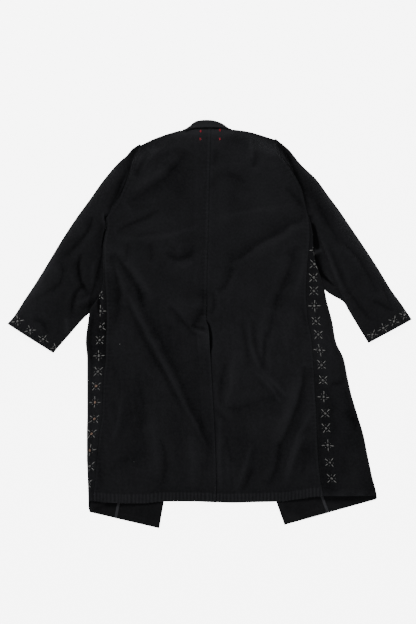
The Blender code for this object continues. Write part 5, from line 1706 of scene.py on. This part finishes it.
@dataclass
class SeamRows:
    """Where the rows of stitches run on the coat."""

    lay: Lay
    stitching: Stitching
    laid: dict[str, Laid]
    hem_row: float = 2.65
    felled_rows: tuple = (0.12, 0.68)
    centre_rows: tuple = (0.15, 0.78)
    centre_reach: tuple = (1.6, 56.6)
    vent_top: float = 1.2
    vent_row: float = 0.45
    edge_rows: tuple = (0.3, 0.95)
    bar: tuple = ((-3.57, -1.5), (-0.45, -2.4))
    bar_rows: tuple = (0.0, 0.12, 0.24)
    vent_rows: tuple = (
        ((-4.0, -0.1), (-1.9, 1.3)), ((-2.4, -50.9), (-2.4, -48.2), (1.2, -48.2), (1.2, -50.9)),
        ((-10.8, 52.9), (-16.0, 48.6), (-22.4, 41.6)),
    )
    collar_row: tuple = ((-5.6, 56.78), (-4.0, 56.98), (-1.5, 57.05), (1.0, 57.05), (3.0, 57.0), (4.6, 56.82))

    def upright(self, x_of: Callable[[Array], Array], low: float, high: float, shift: float) -> Array:
        """A line up the coat beside a seam."""
        y = np.linspace(low, high, 120)
        return np.stack([x_of(y) + shift, y], axis=1)

    def across(self, low: float, high: float, count: int) -> Array:
        """A line across the coat, above the hem."""
        x = np.linspace(low, high, count)
        return np.stack([x, self.lay.hem(x) + self.hem_row], axis=1)

    def sew(self, name: str, node: str, above: list, below: list) -> None:
        """Sew rows on a piece, on top and underneath."""
        shape = bmesh.new()
        for rows, from_above in ((above, True), (below, False)):
            for row in rows:
                self.stitching.sew(shape, self.laid[node], row, from_above)
        self.stitching.tailor.place("seam_rows_" + name, shape, (BLACK_THREAD,), node)

    def back(self, side: Side) -> None:
        """The rows on one half of the back."""
        lay, sign, hem = self.lay, side.sign, self.lay.seam_hem(side)
        seam, edge = (lambda y: lay.seam_line(side, y)), (lambda y: lay.back_edge(side, y))
        rows = []
        for away in self.felled_rows:
            rows.append(self.upright(seam, hem + 0.2, lay.underarm - 0.2, sign * away))
            heights = np.linspace(lay.underarm + 0.3, ENDS[side].shoulder - 0.2, 60)
            run = np.stack([lay.armhole(side, "back", heights), heights], axis=1)
            slope = np.gradient(run, axis=0)
            slope /= np.linalg.norm(slope, axis=1)[:, None]
            rows.append(run + np.stack([slope[:, 1], -slope[:, 0]], axis=1) * sign * away)
        if side is Side.LEFT:
            rows += [self.upright(edge, *self.centre_reach, -away) for away in self.centre_rows]
            rows.append(self.upright(edge, lay.centre_hem + 0.3, self.vent_top, -self.vent_row))
            rows += [np.array(self.bar) + [0.0, shift] for shift in self.bar_rows] + list(self.vent_rows)
        rows.append(self.across(*sorted((float(seam(hem)), float(edge(lay.centre_hem)))), 90))
        self.sew("back_" + side.word, "back_" + side.word, rows, [])

    def front(self, side: Side) -> None:
        """The rows on a front: its hem on top and inside, and its edge underneath."""
        lay, sign, ends, hem = self.lay, side.sign, ENDS[side], self.lay.seam_hem(side)
        seam, fold = float(lay.seam_line(side, hem)), float(lay.fold_edge(side, hem))
        inside = ends.edge_hem + 2.4
        below = [[(fold + sign * 0.6, ends.fold_hem + 2.3), (float(lay.front_edge(side, inside)), inside)]]
        for away in self.edge_rows:
            edge = lambda y: lay.front_edge(side, y)
            below.append(self.upright(edge, ends.edge_hem + 0.4, ends.edge_neck - 1.0, -sign * away))
        self.sew("front_" + side.word, "front_" + side.word, [self.across(seam, fold, 30)], below)

    def cuff(self, side: Side, sleeves: Sleeves) -> None:
        """The row round a cuff."""
        surface, node, stitching = sleeves.surfaces[side], "sleeve_" + side.word, self.stitching
        shape, half = bmesh.new(), stitching.length / CM / 2
        for at in np.arange(0.2, surface.girth(0) - 0.2, stitching.pitch):
            start, end = (surface.at(sleeves.hem_width, at + way * half) for way in (-1, 1))
            _, normal = self.laid[node].nearest((start + end) / 2)
            lift = normal * (stitching.depth / 2 - stitching.sink)
            stitching.bead(shape, start + lift, end + lift, normal, stitching.breadth, stitching.depth)
        stitching.tailor.place("seam_rows_cuff_" + side.word, shape, (BLACK_THREAD,), node)

    def collar(self) -> None:
        """The row along the collar's free edge."""
        self.sew("collar", "collar", [self.collar_row], [])


@dataclass
class Stars:
    """The embroidered stars: a round heart, four long rays and four knots between them."""

    stitching: Stitching
    tailor: Tailor
    heart: float = 0.36
    ray_start: float = 0.66
    ray_end: float = 1.9
    ray_breadth: float = 0.13
    ray_threads: int = 3
    heart_threads: int = 7
    knot_at: float = 0.98
    knot: float = 0.09
    thread: float = 0.80 * MM
    thread_depth: float = 0.7 * MM
    lifts: tuple = (0.35, 0.75)
    hidden_from: float = -36.0
    hidden_beyond: float = -31.8
    hidden_between: tuple = (-2.0, 9.5)
    cuff_stars: tuple = (7, 8)
    cuff_first: tuple = (0.32, 0.22)
    cuff_height: float = 2.35
    tinted_between: tuple = (-38.0, -16.0)
    bead_faces: int = 20
    side_seeds: tuple = (61, 62)
    cuff_seeds: tuple = (63, 64)

    def threads(self, turn: float, luck: np.random.Generator) -> list[tuple[float, float, float, float, bool]]:
        """The threads of a star: start and end in centimetres, and whether each is in the heart."""
        found = []
        for number in range(self.heart_threads):
            at = self.heart * (2 * (number + 0.5) / self.heart_threads - 1)
            half = math.sqrt(max(self.heart**2 - at * at, 0.01)) * luck.uniform(0.92, 1.1)
            found.append((-half, at, half, at, True))
        for ray in range(4):
            angle = math.radians(90 * ray) + luck.normal(0.0, 0.09)
            start, end = self.ray_start * luck.uniform(0.9, 1.1), self.ray_end * luck.uniform(0.86, 1.06)
            for number in range(self.ray_threads):
                off = self.ray_breadth * (number / (self.ray_threads - 1) - 0.5)
                near, far = start + luck.uniform(0, 0.08), end - 1.2 * off * off - luck.uniform(0, 0.12)
                found.append(self.turned((near, off * 0.8, far, off, False), angle))
            angle += math.radians(45)
            for off in (-self.knot / 2, self.knot / 2):
                found.append(self.turned((self.knot_at - self.knot, off, self.knot_at + self.knot, off, False), angle))
        return [self.turned(each, turn) for each in found]

    def turned(self, thread: tuple, angle: float) -> tuple[float, float, float, float, bool]:
        """A thread turned about the star's middle."""
        c, s = math.cos(angle), math.sin(angle)
        ax, ay, bx, by, heart = thread
        return ax * c - ay * s, ax * s + ay * c, bx * c - by * s, bx * s + by * c, heart

    def sew(
        self, shape: bmesh.types.BMesh, laid: Laid, spot: Callable[[float, float], Vector], turn: float,
        luck: np.random.Generator, tinted: bool,
    ) -> None:
        """One star, each thread laid on the cloth."""
        before = len(shape.faces)
        for ax, ay, bx, by, heart in self.threads(turn, luck):
            start, end = spot(ax, ay), spot(bx, by)
            middle = (start + end) / 2 / CM
            low, high = self.hidden_between
            if self.hidden_from < middle.x < self.hidden_beyond and low < middle.y < high:
                continue
            _, normal = laid.nearest((start + end) / 2)
            first, second = laid.nearest(start)[0], laid.nearest(end)[0]
            lift = normal * (self.thread_depth * self.lifts[heart] * (1.0 if normal.z > -0.5 else 0.0))
            self.stitching.bead(shape, first + lift, second + lift, normal, self.thread, self.thread_depth)
        if tinted:
            shape.faces.ensure_lookup_table()
            for face in shape.faces[before : before + self.bead_faces * self.heart_threads]:
                face.material_index = 1

    def side_row(self, side: Side, surface: Surface, laid: Laid) -> None:
        """The stars beside a side seam."""
        shape, luck = bmesh.new(), np.random.default_rng(self.side_seeds[side is Side.RIGHT])
        low, high = self.tinted_between
        for star in STARS[side]:
            def spot(u: float, v: float, star: StarPlace = star) -> Vector:
                """A place about this star."""
                return surface.at(star.height + v, max(star.away + u, 0.0))
            tinted = side is Side.LEFT and low < star.height < high
            self.sew(shape, laid, spot, math.radians(star.cross.value), luck, tinted)
        self.tailor.place("stars_" + side.word, shape, (GREY_THREAD, RUST_THREAD), "front_" + side.word)

    def cuff_row(self, side: Side, surface: Surface, laid: Laid) -> None:
        """The stars round a cuff."""
        shape, luck = bmesh.new(), np.random.default_rng(self.cuff_seeds[side is Side.RIGHT])
        girth = surface.girth(int(np.searchsorted(surface.heights, self.cuff_height)))
        count, first = self.cuff_stars[side is Side.RIGHT], self.cuff_first[side is Side.RIGHT]
        for number in range(count):
            def spot(u: float, v: float, at: float = girth * (number + first) / count) -> Vector:
                """A place about this star."""
                return surface.at(self.cuff_height + v, (at + u) % girth)
            turn = Cross.UPRIGHT if number % 3 == 2 else Cross.DIAGONAL
            self.sew(shape, laid, spot, math.radians(turn.value), luck, False)
        self.tailor.place("stars_cuff_" + side.word, shape, (GREY_THREAD, RUST_THREAD), "sleeve_" + side.word)


@dataclass
class Trimmings:
    """The small things: red tacks, thread ends, lint, buttons and buttonholes."""

    lay: Lay
    tailor: Tailor
    stitching: Stitching
    laid: dict[str, Laid]
    tacks: tuple = ((-2.5, 55.9), (-2.6, 53.65), (3.1, 56.2), (3.05, 53.65))
    tack_size: float = 0.57
    tack_threads: int = 7
    tack_thread: tuple = (1.0 * MM, 0.8 * MM)
    tack_lift: float = 0.35 * MM
    tufts: tuple = ((-20.6, 51.8, 9), (-22.1, 50.7, 6), (21.1, 52.3, 9))
    lint: tuple = ((-25.9, -5.7), (-21.8, -39.6))
    seeds: tuple = (71, 72)
    tack_uneven: tuple = (0.85, 1.1)
    hairs: int = 5
    hair: float = 0.3
    hair_reach: tuple = (0.7, 1.6)
    hole_steps: tuple = (-1.25, 1.26, 0.09)
    hole_lips: tuple = (0.06, 0.28)
    button_taper: float = 0.96
    rim_angle: float = 0.7
    rim_round: float = 0.35 * MM
    bars: tuple = (-1.3, 1.3)
    bar_ends: tuple = (-2.0, 2.0)
    bar_threads: tuple = (-0.45, 0.0, 0.45)
    bar_thread: tuple = (0.6 * MM, 0.7 * MM)
    fibre: float = 0.55 * MM
    hole_thread: tuple = (0.8 * MM, 0.5 * MM)
    button_heights: tuple = (46.0, 38.5, 31.0, 23.5, 16.0)
    button_radius: float = 10 * MM
    button_depth: float = 3 * MM
    button_sides: int = 48
    rim_width: float = 2.0 * MM
    bevel_width: float = 0.7 * MM
    dish_width: float = 1.2 * MM
    dish_depth: float = 0.7 * MM

    def red_tacks(self) -> None:
        """Four small square tacks below the collar."""
        shape, luck = bmesh.new(), np.random.default_rng(self.seeds[0])
        for x, y in self.tacks:
            laid = self.laid["back_left" if x < 0 else "back_right"]
            for number in range(self.tack_threads):
                off = self.tack_size * (number / (self.tack_threads - 1) - 0.5)
                half = self.tack_size / 2 * luck.uniform(*self.tack_uneven)
                ends = [(x + way * half, y + off) for way in (-1, 1)]
                self.stitching.thread(shape, laid, ends, self.tack_thread, self.tack_lift)
        self.tailor.place("red_tacks", shape, (RED_THREAD,), "back_left")

    def loose_ends(self) -> None:
        """Tufts of thread at the tops of the armhole seams, and a little lint."""
        shape, luck = bmesh.new(), np.random.default_rng(self.seeds[1])
        for x, y, count in self.tufts:
            laid = self.laid["sleeve_left" if x < 0 else "sleeve_right"]
            for _ in range(count):
                spot, normal = laid.nearest(Vector((x * CM, y * CM, 6.0 * MM)))
                way = Vector((luck.normal(0, 0.7), luck.normal(0.8, 0.5), luck.normal(0.3, 0.5))).normalized()
                first = spot + Vector((luck.normal(0, 1.5), luck.normal(0, 1.0), 0)) * MM
                middle = first + way * luck.uniform(2.0, 3.5) * MM
                last = middle + (way + Vector((luck.normal(0, 0.7), -0.6, -0.3))).normalized() * 2.5 * MM
                for start, end in ((first, middle), (middle, last)):
                    self.stitching.bead(shape, start, end, normal, self.fibre, self.fibre)
        self.tailor.place("thread_ends", shape, (BLACK_THREAD,), "sleeve_left")
        shape = bmesh.new()
        for x, y in self.lint:
            spot, normal = self.laid["back_left"].drop(x, y)
            centre = spot + normal * self.hair * MM
            for _ in range(self.hairs):
                way = Vector((luck.normal(0, 1), luck.normal(0, 1), 0)).normalized()
                way = way * luck.uniform(*self.hair_reach) * MM
                self.stitching.bead(shape, centre - way, centre + way, normal, self.hair * MM, self.hair * MM)
        self.tailor.place("lint_specks", shape, (LINT,), "back_left")

    def button(self, number: int, height: float) -> None:
        """A dished button with a rim, sewn with two bars of thread, its face to the floor."""
        shape = bmesh.new()
        radius, depth = self.button_radius, self.button_depth
        top, sides = radius * self.button_taper, self.button_sides
        bmesh.ops.create_cone(shape, cap_ends=True, segments=sides, radius1=radius, radius2=top, depth=depth)
        face = min(shape.faces, key=lambda each: each.calc_center_median().z)
        for width in (self.rim_width, self.bevel_width):
            bmesh.ops.inset_region(shape, faces=[face], thickness=width, depth=0.0)
        for vert in face.verts:
            vert.co.z += self.dish_depth
        bmesh.ops.inset_region(shape, faces=[face], thickness=self.dish_width, depth=0.0)
        rims = [each for each in shape.edges if each.is_manifold and each.calc_face_angle(0.0) > self.rim_angle]
        bmesh.ops.bevel(shape, geom=rims, offset=self.rim_round, segments=3, affect="EDGES", profile=0.5, material=-1)
        bottom = -depth / 2 + self.dish_depth
        for across in self.bars:
            ends = [Vector((across * MM, along * MM, bottom)) for along in self.bar_ends]
            for shift in self.bar_threads:
                slide = Vector((shift * MM, 0, 0))
                start = len(shape.faces)
                self.stitching.bead(shape, ends[0] + slide, ends[1] + slide, Vector((0, 0, -1)), *self.bar_thread)
                shape.faces.ensure_lookup_table()
                for each in shape.faces[start:]:
                    each.material_index = 1
        x = float(self.lay.placket_centre(np.array(height)))
        bmesh.ops.translate(shape, verts=shape.verts, vec=(x * CM, height * CM, depth / 2))
        name = f"button_{number}"
        piece = self.tailor.place(name + "_resin", shape, (DARK_RESIN, BLACK_THREAD), name)
        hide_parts(name)

    def buttonholes(self) -> None:
        """The sewn edges of the buttonholes, on the hidden side of the left front."""
        shape, laid = bmesh.new(), self.laid["front_left"]
        for height in self.button_heights:
            x = float(self.lay.placket_centre(np.array(height)))
            for side_way in (-1, 1):
                for step in np.arange(*self.hole_steps):
                    ends = [(x + step, height + side_way * off) for off in self.hole_lips]
                    self.stitching.thread(shape, laid, ends, self.hole_thread, from_above=False)
        self.tailor.place("buttonholes", shape, (BLACK_THREAD,), "front_left")


@dataclass
class Studio:
    """The floor, the soft light and the camera above."""

    tailor: Tailor
    scale: float = 2.9 * MM
    image: tuple[int, int] = (416, 624)
    centre: tuple[float, float] = (209.3, 324.5)
    lens: float = 85.0
    sensor: float = 36.0
    floor_size: float = 14.0
    floor_drop: float = 0.4 * MM
    air: float = 0.2
    lights: tuple = (
        ("key_light", (-1.2, 4.3, 3.3), 2.0, 300.0),
        ("fill_light", (1.7, -2.0, 2.6), 2.2, 42.0),
        ("left_light", (-2.5, -0.7, 2.2), 1.8, 18.0),
    )

    def build(self) -> None:
        """Set up the whole studio."""
        self.floor()
        for light in self.lights:
            self.softbox(*light)
        world = bpy.data.worlds.new("studio_air")
        world.use_nodes = True
        back = world.node_tree.nodes["Background"]
        back.inputs["Color"].default_value = (1.0, 1.0, 1.0, 1.0)
        back.inputs["Strength"].default_value = self.air
        bpy.context.scene.world = world
        self.camera()

    def floor(self) -> None:
        """The pale floor."""
        shape = bmesh.new()
        bmesh.ops.create_grid(shape, x_segments=4, y_segments=4, size=self.floor_size / 2)
        bmesh.ops.translate(shape, verts=shape.verts, vec=(0.0, 0.0, -self.floor_drop))
        mesh = bpy.data.meshes.new("studio_floor")
        shape.to_mesh(mesh)
        shape.free()
        mesh.materials.append(self.tailor.wardrobe.get(FLOOR_PAPER))
        floor = bpy.data.objects.new("studio_floor", mesh)
        bpy.context.scene.collection.objects.link(floor)

    def softbox(self, name: str, where: tuple[float, float, float], size: float, power: float) -> None:
        """One large soft light, aimed at the coat."""
        light = bpy.data.lights.new(name, "AREA")
        light.shape, light.size, light.energy = "SQUARE", size, power
        lamp = bpy.data.objects.new(name, light)
        lamp.location = where
        lamp.rotation_euler = (-Vector(where)).to_track_quat("-Z", "Y").to_euler()
        bpy.context.scene.collection.objects.link(lamp)

    def camera(self) -> None:
        """The camera straight above, framed as the photograph is."""
        data = bpy.data.cameras.new("camera")
        data.lens, data.sensor_width = self.lens, self.sensor
        eye = bpy.data.objects.new("camera", data)
        width, height = self.image
        distance = height * self.scale / self.sensor * self.lens
        eye.location = (
            (width / 2 - self.centre[0]) * self.scale, (self.centre[1] - height / 2) * self.scale, distance
        )
        bpy.context.scene.collection.objects.link(eye)
        bpy.context.scene.camera = eye


def main() -> None:
    """Build the coat's pieces in order, then the studio."""
    logging.basicConfig(level=logging.INFO, format="%(message)s")
    tailor = Tailor(Wardrobe())
    lay = Lay()
    laid: dict[str, Laid] = {}
    body, sleeves, collar = Body(lay, tailor), Sleeves(lay, tailor), Collar(lay, tailor)
    for side in Side:
        body.back(side)
        body.front(side)
        sleeves.build(side)
    collar.build()
    for node in ("back_left", "front_left", "sleeve_left", "back_right", "front_right", "sleeve_right", "collar"):
        laid[node] = Laid(bpy.data.objects[node + "_cloth"].data)
    stitching = Stitching(tailor)
    rows, stars = SeamRows(lay, stitching, laid), Stars(stitching, tailor)
    for side in Side:
        rows.back(side)
        rows.front(side)
        rows.cuff(side, sleeves)
        stars.side_row(side, body.surfaces[side], laid["front_" + side.word])
        stars.cuff_row(side, sleeves.surfaces[side], laid["sleeve_" + side.word])
    rows.collar()
    trimmings = Trimmings(lay, tailor, stitching, laid)
    trimmings.red_tacks()
    trimmings.loose_ends()
    for number, height in enumerate(trimmings.button_heights, 1):
        trimmings.button(number, height)
    trimmings.buttonholes()
    Studio(tailor).build()


if __name__ == "__main__":
    main()
